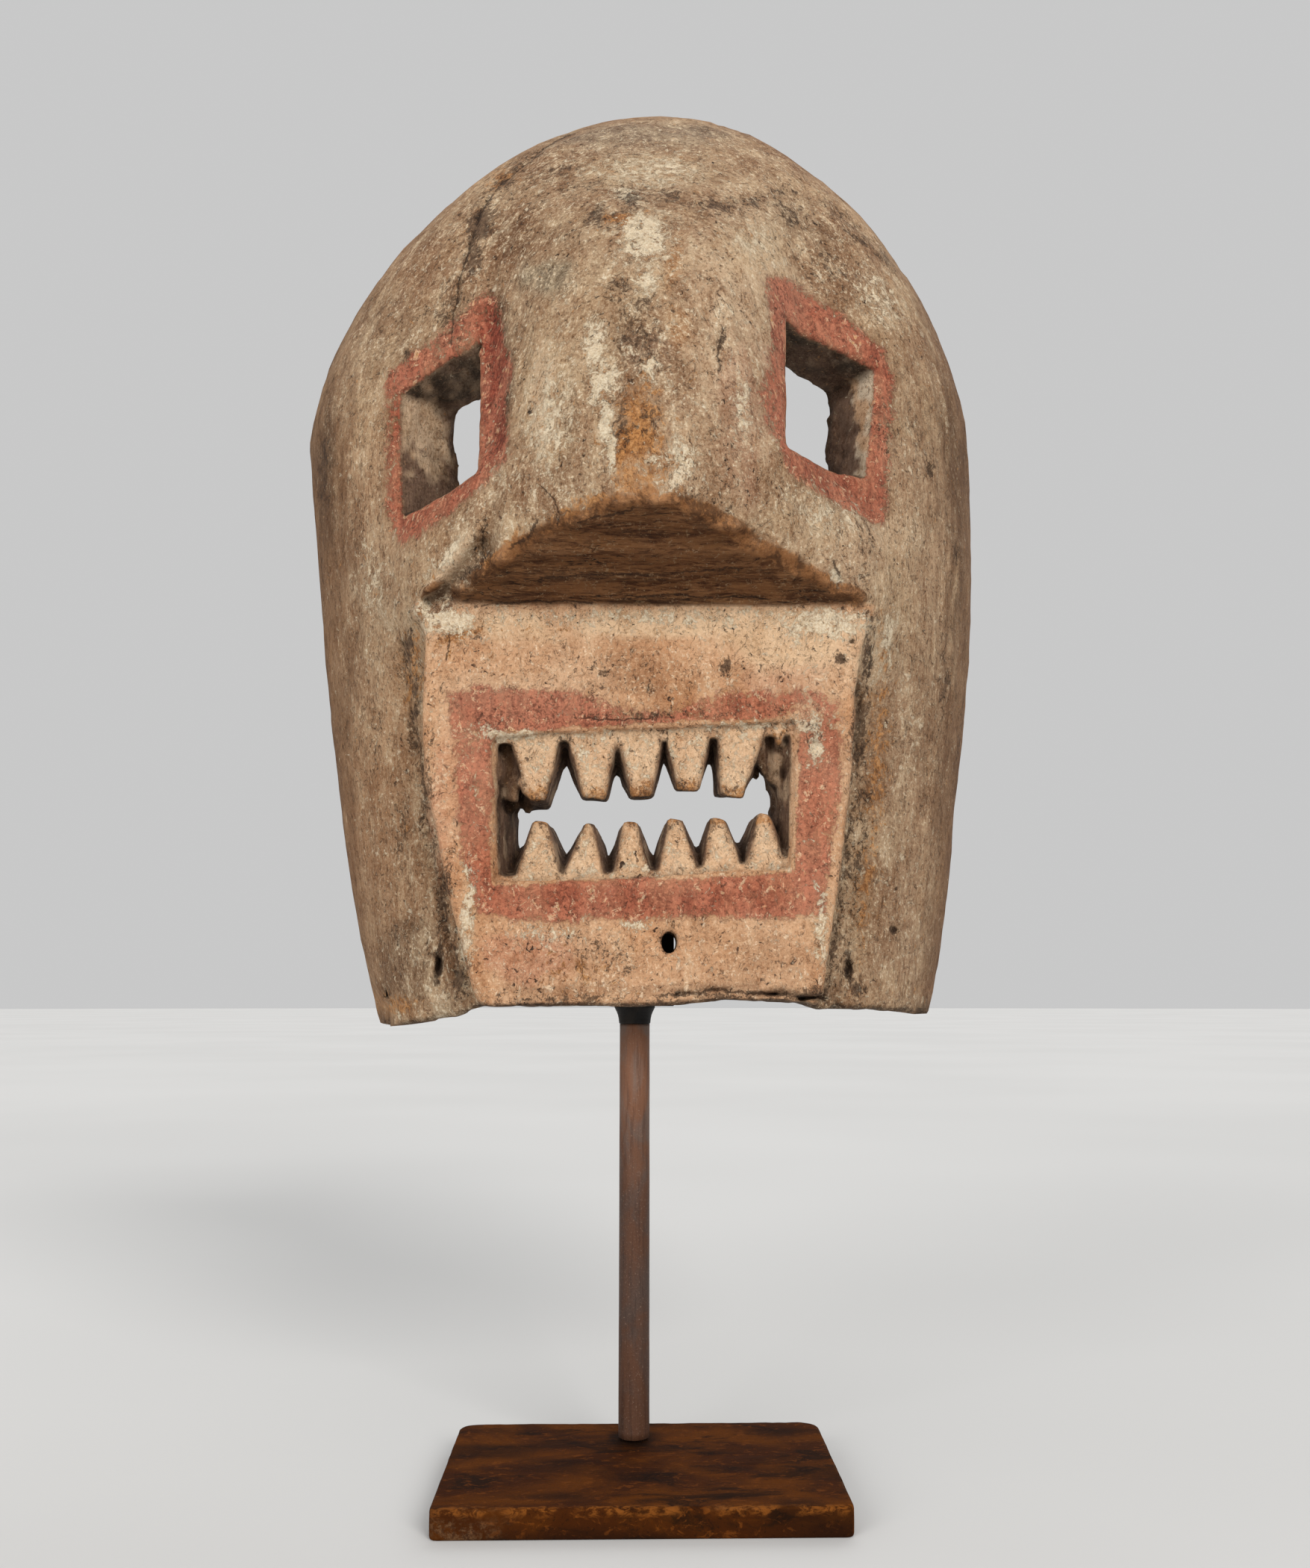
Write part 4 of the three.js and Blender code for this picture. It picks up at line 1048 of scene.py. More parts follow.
    # Teeth
    face_near = smoothstep(2.0, 0.5, mouth_teeth(x, y, z)) * smoothstep(RECESS_Y + 5, RECESS_Y + 2, y)
    tooth_face = np.where(in_mouth, face_near, 0)
    tips = tooth_tips(x, z)
    lay("white", 0.78 * tooth_face)
    lay("peach", 0.35 * tooth_face * patches(p, -0.2, 0.6, 8, 75))
    mark("ochre", 0.62 * tooth_face * tips * (z > 240))
    mark("dirt_and_shade", 0.34 * tooth_face * tips)
    mark("white", 0.24 * tooth_face * (1 - tips))
    edge_near = smoothstep(-2.6, -0.4, mouth_teeth(x, y, z, False)) * tooth_face
    lay("rust", 0.7 * edge_near * patches(p, -0.5, 0.3, 4, 81))
    mark("dirt_and_shade", 0.36 * edge_near)

    # Walls of the mouth, and the underside of the brow
    lay("brown", 0.97 * mouth_wall)
    # Side walls of the mouth: brown-grey wood, made paler as painted light since they lie in shadow
    lay("taupe", 0.7 * mouth_wall * smoothstep(0.3, 0.7, np.abs(normal_x)))
    lay("umber", 0.7 * mouth_wall * patches(p, -0.2, 0.5, (5, 5, 9), 44))
    lay("dust", 0.5 * mouth_wall * patches(p, 0.2, 0.6, (2.6, 2.6, 7), 82))
    # Painted shade on the walls of the mouth that face down
    lay("underside_shade", 0.6 * mouth_wall * smoothstep(-0.4, -0.8, normal_z))
    lay("rust", 0.92 * brow)
    lay("ochre", 0.14 * brow)
    lay("umber", 0.45 * brow * smoothstep(30, 78, np.abs(x - 6)))
    lay("umber", 0.5 * brow * patches(p, 0.1, 0.8, (30, 6, 6), 68))
    lay("rust", 0.35 * brow * patches(p, 0.0, 0.8, (30, 5, 5), 45))

    # Walls of the eye holes, with the outer wall of each, which the photograph shows
    back_shade = y + 3 * noise(p, 6, 70)
    lay("slate", 0.95 * eye_wall)
    lay("bark", 0.6 * eye_wall * patches(p, -0.1, 0.5, 7, 69))
    # The outer wall of each hole: real peeling plaster and taupe wood, both made paler as painted light, since the
    # lamps reach these walls little
    left_outer = smoothstep(0.2, 0.6, normal_x) * smoothstep(-40, -60, x)
    pale = (smoothstep(-0.25, 0.25, 0.7 * noise(p, 8, 46) + 0.5 * noise(p, 3, 78) + (z - 394) / 14)
            * smoothstep(25, 20, back_shade))
    lay("taupe", 0.9 * eye_wall * left_outer)
    lay("dust", (0.86 + 0.14 * noise(p, (4, 4, 12), 79)) * eye_wall * pale * left_outer)
    lay("umber", 0.5 * eye_wall * left_outer * smoothstep(22, 27, back_shade))
    top_wall = eye_wall * smoothstep(-0.3, -0.6, normal_z)
    lay("taupe", 0.6 * top_wall * patches(p, -0.1, 0.5, (12, 5, 5), 57))
    right_outer = smoothstep(-0.2, -0.6, normal_x) * smoothstep(60, 74, x)
    peeling = 0.7 * noise(p, 7, 47) + 0.4 * noise(p, 3, 80) + (z - 406) / 26 + (8 - y) / 6
    peel_and_light = eye_wall * right_outer * smoothstep(-0.1, 0.15, peeling)
    lay("taupe", 0.9 * eye_wall * right_outer)
    lay("chalk", 0.8 * peel_and_light)
    lay("peach", 0.8 * peel_and_light * patches(p, -0.1, 0.4, 6, 83))
    lay("umber", 0.35 * eye_wall * right_outer * smoothstep(23, 28, back_shade))
    glow = np.maximum(pale * left_outer, peel_and_light) * eye_wall

    # Hollow, rim and lower edge
    lay("umber", 0.85 * inner)
    lay("rust", 0.35 * inner * patches(p, -0.1, 0.8, (14, 14, 40), 48))
    lay("rust", 0.55 * rim)
    lay("tan", 0.4 * rim * patches(p, 0, 0.6, 12, 49))
    lay("umber", 0.8 * under)

    # Masks for the material
    walls = np.clip(eye_wall + inner, 0, 1)
    covered = 1 - np.clip(eye_wall + mouth_wall + inner + brow, 0, 1)
    outer = front * (1 - np.clip(eye_wall + brow + mouth_wall + inner, 0, 1))
    band = red_bands(u, v, 5.0 * noise(p, 16, 58)) * outer
    slant = np.abs(over_brow(y, z) / math.sqrt(1 + BROW_SLOPE ** 2))
    rim_near = np.maximum(slant, np.maximum(-skin, 0))
    on_brow = (y < PLATE_Y - 1) & (np.abs(x - 2) < 98)
    brow_rim = np.where(on_brow, smoothstep(6.5, 0.0, rim_near), 0) * (hollow > 4)
    chalk = (outer * (1 - 0.6 * band) * (1 - 0.85 * bare_side_and_shade) * (1 - 0.2 * smoothstep(70, 112, off_centre))
             * (1 - np.clip(1.3 * marks["ochre"] - 0.2, 0, 1)))
    # Less rough shading on the outer walls of the eye holes, part of their painted light
    bare = (np.clip(eye_wall + brow + mouth_wall + inner + rim, 0, 1) * (1 - 0.85 * glow)
            * (1 - 0.5 * eye_wall * right_outer))
    fibrous = np.maximum(smoothstep(78, 108, off_centre) * smoothstep(500, 380, z), 1 - front) * (1 - on_plate)
    # How hollow each corner is, for painted shade in hollows
    bend = bend_of(mesh, p, normal)
    seam, seam_near = seam_offsets(u, v)

    layer = mesh.attributes.new("tint", "FLOAT_COLOR", "POINT")
    layer.data.foreach_set("color", np.concatenate([colour, np.ones((len(p), 1))], 1).astype(np.float32).ravel())
    for name, values in (("dirt_and_shade", marks["dirt_and_shade"] * covered), ("white", marks["white"] * covered),
                         ("ochre", marks["ochre"] * (1 - walls)), ("band", band), ("fibrous", fibrous),
                         ("brow_rim", brow_rim * (1 - walls)), ("chalk", chalk), ("bare", bare), ("brow", brow),
                         ("flatness", np.maximum(on_plate, tooth_face) * outer),
                         ("proud", -bend * BEND_SCALE), ("crease_shade", bend * BEND_SCALE)):
        write(mesh, name, values)
    write(mesh, "seam", seam, -SEAM_REACH, SEAM_REACH)
    write(mesh, "seam_near", seam_near * np.where(front > 0.5, 1, SEAM_REACH), 0, SEAM_REACH ** 2)


# Materials
class Value:
    """An output of a node, for sums that become nodes."""

    def __init__(self, graph, socket):
        self.graph = graph
        self.socket = socket

    def __add__(self, other):
        return self.graph.math("ADD", self, other)

    def __sub__(self, other):
        return self.graph.math("SUBTRACT", self, other)

    def __rsub__(self, other):
        return self.graph.math("SUBTRACT", other, self)

    def __mul__(self, other):
        return self.graph.math("MULTIPLY", self, other)

    def __abs__(self):
        return self.graph.math("ABSOLUTE", self)

    __rmul__ = __mul__

    def step(self, low, high):
        """Nought to one as the value goes from low to high."""
        return self.graph.node("ShaderNodeMapRange", "Result", {"Value": self, "From Min": low, "From Max": high},
                               interpolation_type="SMOOTHSTEP")


class Graph:
    """A material's node graph."""

    def __init__(self, name):
        self.material = bpy.data.materials.new(name)
        self.material.use_nodes = True
        self.tree = self.material.node_tree
        self.tree.nodes.clear()
        self.place = self.node("ShaderNodeTexCoord", "Object")

    def node(self, kind, output, inputs=(), **settings):
        """Adds a node with these inputs, by name or number, and gives its output."""
        node = self.tree.nodes.new(kind)
        for name, value in settings.items():
            setattr(node, name, value)
        for name, value in dict(inputs).items():
            if isinstance(value, Value):
                self.tree.links.new(value.socket, node.inputs[name])
            else:
                plain_colour = node.inputs[name].type == "RGBA" and len(value) == 3
                node.inputs[name].default_value = (*value, 1.0) if plain_colour else value
        return Value(self, node.outputs[output])

    def math(self, kind, a, b=0.0):
        return self.node("ShaderNodeMath", 0, {0: a, 1: b}, operation=kind)

    def noise(self, size_mm, detail=4.0, rough=0.55, twist=0.0, stretch=(1, 1, 1)):
        """Noise with features of about that size, drawn out along the axes of stretch."""
        scale = tuple(1000.0 / size_mm / s for s in stretch)
        at = self.node("ShaderNodeMapping", 0, {"Vector": self.place, "Scale": scale})
        return self.node("ShaderNodeTexNoise", "Fac", {"Vector": at, "Scale": 1.0, "Detail": detail,
                                                       "Roughness": rough, "Distortion": twist})

    def attribute(self, name, output="Fac"):
        return self.node("ShaderNodeAttribute", output, attribute_name=name)

    def mix(self, share, a, b, kind="MIX"):
        return self.node("ShaderNodeMix", 2, {0: share, 6: a, 7: b}, data_type="RGBA", blend_type=kind)

    def shade(self, share, base, factor):
        return self.mix(share, base, self.mix(1.0, base, factor, "MULTIPLY"))

    def bump(self, height, strength, distance):
        return self.node("ShaderNodeBump", 0, {"Strength": strength, "Distance": distance, "Height": height})

    def finish(self, **inputs):
        """Puts the shader on the inputs, named with _ for spaces, and gives the material."""
        named = {name.replace("_", " "): value for name, value in inputs.items()}
        shader = self.node("ShaderNodeBsdfPrincipled", 0, named)
        self.tree.links.new(shader.socket, self.tree.nodes.new("ShaderNodeOutputMaterial").inputs[0])
        return self.material


def painted_wood():
    g = Graph("painted_wood")
    tint = g.attribute("tint", "Color")
    band, chalk, bare, brow, flat, fibrous, proud, crease_shade, white_marks, dirt_and_shade_marks, ochre_marks = [
        g.attribute(name) for name in ("band", "chalk", "bare", "brow", "flatness", "fibrous", "proud", "crease_shade",
                                       "white", "dirt_and_shade", "ochre")]
    upright = 1 - flat
    fibre = g.noise(0.75, 6, 0.66, 0.3, (1, 1, 8))
    fleck = g.noise(1.6, 8, 0.76, 0.35, (1, 1, 1.15))
    crust = g.noise(1.5, 8, 0.76, 0.5)
    chip = g.noise(4.0, 10, 0.80, 0.6, (1, 1, 1.2))
    fine = g.noise(0.7, 4, 0.7)
    drip = g.noise(4.2, 7, 0.70, 0.7, (1, 1, 4))
    mottle = g.noise(11, 9, 0.70, 0.7, (1, 1, 1.7))
    cloud = g.noise(36, 8, 0.66, 0.6, (1, 1, 1.5))
    across = g.noise(1.0, 8, 0.76, 0.5, (7, 1, 1))
    wide_across = g.noise(4.5, 8, 0.72, 0.9, (4, 1, 1))
    grain = fleck * upright + crust * flat
    local = grain * 0.72 + mottle * 0.28
    calm = 1 - fibrous * 0.35 - flat * 0.30

    # Worn pale paint over the given tint
    white = COLOURS["white"]
    colour = g.shade(cloud.step(0.50, 0.64) * 0.22, tint, (0.74, 0.63, 0.52))
    colour = g.mix(cloud.step(0.50, 0.38) * 0.22 * chalk, colour, white)
    colour = g.shade(drip.step(0.48, 0.38) * 0.36 * upright, colour, (0.70, 0.59, 0.49))
    colour = g.mix(drip.step(0.54, 0.64) * 0.26 * upright * chalk, colour, white)
    colour = g.shade(mottle.step(0.48, 0.39) * 0.30, colour, (0.70, 0.58, 0.47))
    colour = g.mix(mottle.step(0.53, 0.62) * 0.26 * chalk, colour, white)
    colour = g.shade(local.step(0.466, 0.436) * 0.74 * calm, colour, (0.54, 0.43, 0.33))
    colour = g.mix(local.step(0.524, 0.552) * 0.54 * chalk * calm, colour, white)
    colour = g.mix(local.step(0.576, 0.592) * 0.72 * chalk, colour, linear(255, 240, 212))
    colour = g.shade(fibre.step(0.47, 0.39) * 0.40 * fibrous, colour, (0.62, 0.51, 0.42))
    colour = g.mix(fibre.step(0.53, 0.64) * 0.34 * fibrous * chalk, colour, white)
    colour = g.shade(fine.step(0.43, 0.35) * 0.62 * (1 - flat * 0.5), colour, (0.48, 0.38, 0.30))
    colour = g.mix(fine.step(0.58, 0.66) * 0.40 * chalk, colour, linear(250, 230, 198))
    curl = abs(g.noise(3.6, 4, 0.62, 1.6, (1, 1, 1.4)) - 0.5).step(0.014, 0.006)
    curl = curl * white_marks.step(0.05, 0.30) * chalk
    colour = g.mix(curl * 0.62, colour, linear(250, 226, 192))
    hair = abs(g.noise(7, 5, 0.62, 1.5, (1, 1, 1.7)) - 0.5).step(0.011, 0.004) * chip.step(0.47, 0.56)
    check = abs(g.noise(3.4, 4, 0.6, 0.4, (1, 1, 9)) - 0.5).step(0.014, 0.004) * chip.step(0.48, 0.58)
    lines = g.math("MAXIMUM", hair, check * fibrous)
    colour = g.mix(lines * 0.70, colour, linear(76, 54, 39))
    specks = g.noise(2.4, 4, 0.6, 0.7).step(0.615, 0.66) * mottle.step(0.60, 0.42)
    colour = g.mix(specks * 0.80 * (chalk + 0.2), colour, COLOURS["dark"])
    blobs = g.noise(3.4, 6, 0.7, 0.5, (1, 1, 1.3)).step(0.60, 0.645) * chalk
    colour = g.mix(blobs * 0.70, colour, linear(250, 230, 198))
    colour = g.shade(flat, colour, (1.13, 1.02, 0.97))

    # Red bands
    worn = chip * 0.65 + grain * 0.35
    red_mask = (band * 0.76 + (worn - 0.5) * 3.8).step(0.26, 0.52)
    red = g.mix(mottle.step(0.40, 0.60), linear(182, 76, 58), linear(148, 63, 48))
    red = g.mix(0.32, red, tint)
    red = g.mix(drip.step(0.49, 0.60) * 0.60, red, linear(207, 130, 102))
    red = g.mix(drip.step(0.47, 0.38) * 0.55, red, linear(126, 62, 50))
    red = g.mix(cloud.step(0.50, 0.40) * 0.45, red, linear(208, 134, 108))
    red = g.mix(local.step(0.48, 0.43) * 0.66, red, linear(92, 46, 36))
    red = g.mix(local.step(0.53, 0.57) * 0.56, red, linear(222, 148, 114))
    red = g.mix(chip.step(0.570, 0.595) * 0.90, red, linear(246, 214, 178))
    red = g.mix(specks * 0.6, red, COLOURS["dark"])
    red = g.shade(1.0, red, (1.02, 0.94, 0.90))
    colour = g.mix(red_mask * 0.90, colour, red)

    # Marks with broken edges
    broken = chip * 0.7 + fleck * 0.3 - 0.5
    spread = broken * 5.0
    ochre_mask = (ochre_marks + spread).step(0.36, 0.54)
    ochre = g.mix(local.step(0.46, 0.54), linear(146, 94, 52), linear(210, 148, 88))
    ochre = g.mix(local.step(0.54, 0.60) * 0.6, ochre, linear(222, 170, 118))
    colour = g.mix(ochre_mask * 0.85, colour, ochre)
    white_mask = (white_marks - spread).step(0.40, 0.50)
    chalky = g.mix(fine.step(0.38, 0.62), linear(230, 205, 168), linear(255, 240, 212))
    chalky = g.shade(local.step(0.47, 0.42) * 0.5, chalky, (0.70, 0.60, 0.50))
    colour = g.mix(white_mask * 0.88, colour, chalky)
    flaw = g.noise(3.0, 9, 0.80, 0.9, (1, 1, 1.4)) * 0.75 + fine * 0.25 - 0.5
    # Dirt, and painted shade where the dirt marks lie in creases
    dirt_and_shade_mask = (dirt_and_shade_marks + flaw * 5.0).step(0.46, 0.60)
    grime_and_shade = g.mix(local.step(0.44, 0.55), linear(58, 42, 32), linear(112, 86, 65))
    colour = g.mix(dirt_and_shade_mask * 0.86, colour, grime_and_shade)

    # Bare wood under the brow, in the holes and inside, and the worn rim of the brow
    under = g.shade(across.step(0.49, 0.42) * 0.85, tint, (0.38, 0.30, 0.24))
    under = g.mix(across.step(0.52, 0.58) * 0.66, under, linear(172, 122, 78))
    under = g.shade(wide_across.step(0.49, 0.42) * 0.80, under, (0.42, 0.33, 0.26))
    under = g.mix(wide_across.step(0.53, 0.60) * 0.75, under, linear(150, 102, 62))
    under = g.mix(crust.step(0.53, 0.57) * chip.step(0.50, 0.55) * 0.72, under, linear(190, 156, 118))
    split = abs(g.noise(5.5, 4, 0.55, 0.5, (8, 1, 1)) - 0.5).step(0.012, 0.004) * cloud.step(0.42, 0.54)
    under = g.mix(split * 0.85, under, linear(26, 17, 11))
    colour = g.mix(brow, colour, under)
    rough_wood = g.shade(fibre.step(0.50, 0.40) * 0.55, colour, (0.50, 0.43, 0.36))
    rough_wood = g.mix(grain.step(0.53, 0.60) * 0.42, rough_wood, linear(170, 140, 110))
    colour = g.mix(bare * (1 - brow), colour, rough_wood)
    rim_mask = (g.attribute("brow_rim") + broken * 1.5).step(0.36, 0.66)
    worn_rim = g.mix((mottle * 0.6 + fleck * 0.4).step(0.44, 0.56), linear(104, 68, 40), linear(176, 118, 70))
    worn_rim = g.shade(chip.step(0.47, 0.40) * 0.6, worn_rim, (0.48, 0.38, 0.30))
    worn_rim = g.mix(local.step(0.54, 0.60) * 0.5, worn_rim, linear(206, 152, 100))
    colour = g.mix(rim_mask * 0.80, colour, worn_rim)
    # Painted shade in hollows of the surface, darker the more hollow it is
    colour = g.mix(crease_shade * 0.75, colour, linear(58, 40, 29))
    colour = g.mix(proud * mottle.step(0.4, 0.6) * 0.45, colour, COLOURS["peach"])
    seam = abs(g.attribute("seam") + (g.noise(3.2, 6, 0.72, 0.8) - 0.5) * 9.0).step(1.0, 0.3)
    seam = seam * g.attribute("seam_near").step(4.2, 2.2) * g.noise(6, 5, 0.7, 0.5).step(0.40, 0.50)
    colour = g.mix(seam * 0.72, colour, linear(62, 44, 32))

    height = grain * 1.2 + fibre * (fibrous + 0.08) * 0.7
    for part, share in ((chip, 0.8), (fine, 0.30), (blobs, 0.25), (across * brow, 1.8), (lines, -0.40),
                        (dirt_and_shade_mask, -0.30), (white_mask, 0.30), (red_mask, 0.12), (specks, -0.25), (seam, -1.2)):
        height = height + part * share
    return g.finish(Base_Color=colour, Roughness=mottle * 0.15 + 0.80, Normal=g.bump(height, 1.0, 0.0013),
                    Specular_IOR_Level=0.2)


def rusted_steel():
    g = Graph("rusted_steel")
    cloud = g.noise(34, 6, 0.6, 0.8, (1.8, 1, 1))
    patch = g.noise(14, 7, 0.68, 0.7, (2.6, 1, 1))
    fine = g.noise(1.0, 5, 0.66)
    speck = g.noise(2.6, 7, 0.7, 0.6, (1.6, 1, 1))
    bright = g.mix(fine.step(0.4, 0.6), linear(53, 39, 28), linear(104, 77, 53))
    colour = g.mix(cloud.step(0.40, 0.62), linear(55, 26, 7), linear(84, 44, 9))
    for share, over in ((patch.step(0.52, 0.64) * 0.75, linear(25, 15, 8)),
                        (speck.step(0.54, 0.64) * 0.55, linear(107, 58, 19)),
                        (fine.step(0.55, 0.68) * 0.50, linear(19, 12, 7)),
                        (g.attribute("worn") * speck.step(0.40, 0.56), bright),
                        # Dark patches, a darker right end, and the painted shadow round the rod's foot
                        (g.attribute("dark_patches_and_shadow") * 0.75, linear(18, 11, 8)),
                        (g.attribute("lip") * speck.step(0.42, 0.58), linear(116, 67, 25))):
        colour = g.mix(share, colour, over)
    return g.finish(Base_Color=colour, Roughness=cloud * 0.2 + 0.76, Metallic=0.0, Specular_IOR_Level=0.03,
                    Normal=g.bump(fine * 0.5 + patch * 0.8, 0.6, 0.0006))


def rod_steel():
    g = Graph("rod_steel")
    cloud = g.noise(14, 6, 0.62, 0.7, (1, 1, 2.0))
    streak = g.noise(1.4, 6, 0.66, 0.2, (1, 1, 14))
    fine = g.noise(0.8, 4, 0.66)
    low = g.mix(cloud.step(0.40, 0.62), linear(68, 50, 41), linear(78, 48, 30))
    top = g.mix(cloud.step(0.40, 0.62), linear(109, 89, 78), linear(117, 78, 55))
    # Paler towards the top: painted light on the rod's upper part
    colour = g.mix(g.attribute("high"), low, top)
    colour = g.shade(streak.step(0.49, 0.62) * 0.60, colour, (0.52, 0.45, 0.40))
    colour = g.mix(fine.step(0.58, 0.70) * 0.50, colour, linear(134, 109, 93))
    return g.finish(Base_Color=colour, Roughness=cloud * 0.25 + 0.46, Metallic=0.2, Specular_IOR_Level=0.35,
                    Normal=g.bump(streak + fine * 0.6, 0.5, 0.0005))


def black_steel():
    g = Graph("black_steel")
    cloud = g.noise(9, 5, 0.6, 0.4)
    fine = g.noise(1.0, 4, 0.6)
    colour = g.mix(cloud.step(0.4, 0.7), linear(20, 18, 17), linear(36, 30, 25))
    return g.finish(Base_Color=colour, Roughness=fine * 0.25 + 0.5, Metallic=0.5, Specular_IOR_Level=0.4,
                    Normal=g.bump(cloud + fine * 0.4, 0.4, 0.0005))


# Stand: the rod, the base plate and the fitting in the chin, in millimetres
ROD_RADIUS = 6.0
BASE_HALF_X = 70.0
BASE_HALF_Y = 47.5
BASE_TOP = 10.0
# Rings of the base plate from below, over its rounded edge and in over its top: inset and height
BASE_RINGS = [(1.3, 0.0), (0.5, 0.12), (0.12, 0.5), (0.0, 1.2), (0.0, 3.2), (0.0, 5.0), (0.0, 6.8), (0.0, 8.8),
              (0.12, 9.5), (0.5, 9.88), (1.3, BASE_TOP), (3.0, BASE_TOP), (5.0, BASE_TOP)]
BASE_RINGS += [(7.5 + 2.5 * k, BASE_TOP) for k in range(15)]
# Radius and height pairs
NECK = [(6.1, 165.0), (6.2, 165.6), (6.35, 167.0), (6.65, 168.4), (7.1, 169.6), (7.6, 170.6), (8.0, 171.4),
        (8.0, 174.0)]
SCREW_HEAD = [(4.6, 0.0), (4.6, 1.6), (3.9, 2.3), (2.2, 2.3), (2.2, 0.6)]
SCREWS_Z = (181.0, 197.0)
FITTING_BLOCK = ((ROD_AT[0] - 15, 10.0, 172.0), (ROD_AT[0] + 15, 42.0, 206.0))


def closed_faces(rows, sides):
    """Faces of a closed form made of rings from the lowest up, each with that many corners."""
    faces = []
    for row in range(rows - 1):
        for i in range(sides):
            j = (i + 1) % sides
            faces.append((row * sides + i, row * sides + j, (row + 1) * sides + j, (row + 1) * sides + i))
    faces.append(tuple(range(sides))[::-1])
    top = (rows - 1) * sides
    faces.append(tuple(range(top, top + sides)))
    return faces


def turned(profile, sides, centre):
    """Closed form turned about an upright line from radius and height pairs."""
    corners = []
    for radius, height in profile:
        for i in range(sides):
            a = 2 * math.pi * i / sides
            corners.append((centre[0] + radius * math.cos(a), centre[1] + radius * math.sin(a), height))
    return corners, closed_faces(len(profile), sides)


def mesh_from(name, corners, faces):
    mesh = bpy.data.meshes.new(name)
    mesh.from_pydata([(x * MM, y * MM, z * MM) for x, y, z in corners], [], faces)
    mesh.update()
    return mesh


def rod_mesh():
    waist = ROD_RADIUS - 0.05
    foot, top = BASE_TOP + 0.9, 163.9
    steps = 70
    rows = [(ROD_RADIUS - 0.9, BASE_TOP + 0.35), (waist, foot)]
    rows += [(waist, foot + (top - foot) * i / steps) for i in range(1, steps)]
    rows += [(waist, top), (ROD_RADIUS, 164.96)]
    corners, faces = turned(rows, 64, ROD_AT)
    p = np.array(corners)
    out = p[:, :2] - np.array(ROD_AT)
    away = np.linalg.norm(out, axis=1, keepdims=True)
    worn = 0.06 * (noise(p, (5, 5, 12), 51) - 1)[:, None]
    p[:, :2] += out / away * worn
    mesh = mesh_from("stand_rod", p.tolist(), faces)
    # Share of the paler colour towards the top: painted light on the rod's upper part
    write(mesh, "high", smoothstep(95, 150, p[:, 2] + 8 * noise(p, 9, 71)))
    return mesh


def plate_outline():
    """The base plate's outline from above, with small front corners and larger back ones."""
    points = []
    for way_x, way_y, r, start in ((-1, -1, 2.5, 180), (1, -1, 2.5, 270), (1, 1, 7, 0), (-1, 1, 7, 90)):
        for k in range(9):
            a = math.radians(start + 90 * k / 8)
            points.append((way_x * (BASE_HALF_X - r) + r * math.cos(a), way_y * (BASE_HALF_Y - r) + r * math.sin(a)))
    return points


def plate_mesh():
    """The steel plate, with softly rounded, slightly uneven edges."""
    outline = plate_outline()
    dense = []
    for (ax, ay), (bx, by) in zip(outline, outline[1:] + outline[:1]):
        steps = max(1, int(math.hypot(bx - ax, by - ay) / 2.5))
        for k in range(steps):
            dense.append((ax + (bx - ax) * k / steps, ay + (by - ay) * k / steps))
    corners = []
    for inset, z in BASE_RINGS:
        shrink_x = (BASE_HALF_X - inset) / BASE_HALF_X
        shrink_y = (BASE_HALF_Y - inset) / BASE_HALF_Y
        corners += [(px * shrink_x, py * shrink_y, z) for px, py in dense]
    p = np.array(corners)
    dip = 0.10 * (noise(p, 7, 52) - 1) + 0.08 * (noise(p, 2.6, 53) - 1)
    p[:, 2] += np.where(p[:, 2] > 6, dip, 0)
    shrink = 1 - 0.0015 * (1 - noise(p, 6, 54)) * (p[:, 2] > 0.3)
    p[:, :2] *= shrink[:, None]
    mesh = mesh_from("stand_plate", p.tolist(), closed_faces(len(BASE_RINGS), len(dense)))

    # Worn and rusty edges, dark patches, a darker right end, and a painted shadow round the rod's foot
    x, y, z = p.T
    left_end = smoothstep(-38, -64, x) * smoothstep(-44, -46.5, y)
    right_end = smoothstep(30, 62, x) * smoothstep(-46, -47, y)
    to_edge = np.minimum(BASE_HALF_X - np.abs(x), BASE_HALF_Y - np.abs(y))
    edges = smoothstep(8.6, 9.6, z) * smoothstep(1.6, 0.4, to_edge)
    worn = 0.75 * left_end * patches(p, -0.5, 0.5, (18, 6, 4), 55) + 0.5 * edges * patches(p, -0.2, 0.5, 9, 56)
    write(mesh, "worn", worn)
    foot = smoothstep(13, 7, np.hypot(x - ROD_AT[0], y - ROD_AT[1]) + 2 * noise(p, 5, 72))
    dark_patches_and_shadow = np.maximum(np.maximum(foot, 0.8 * patches(p, 0.1, 0.8, (26, 9, 9), 73)), 0.8 * right_end)
    write(mesh, "dark_patches_and_shadow", dark_patches_and_shadow * (1 - np.clip(worn, 0, 1)))
    write(mesh, "lip", np.where((z > 8.4) & (y < -46), 0.9, 0) * patches(p, -0.6, 0.3, 8, 74))
    return mesh


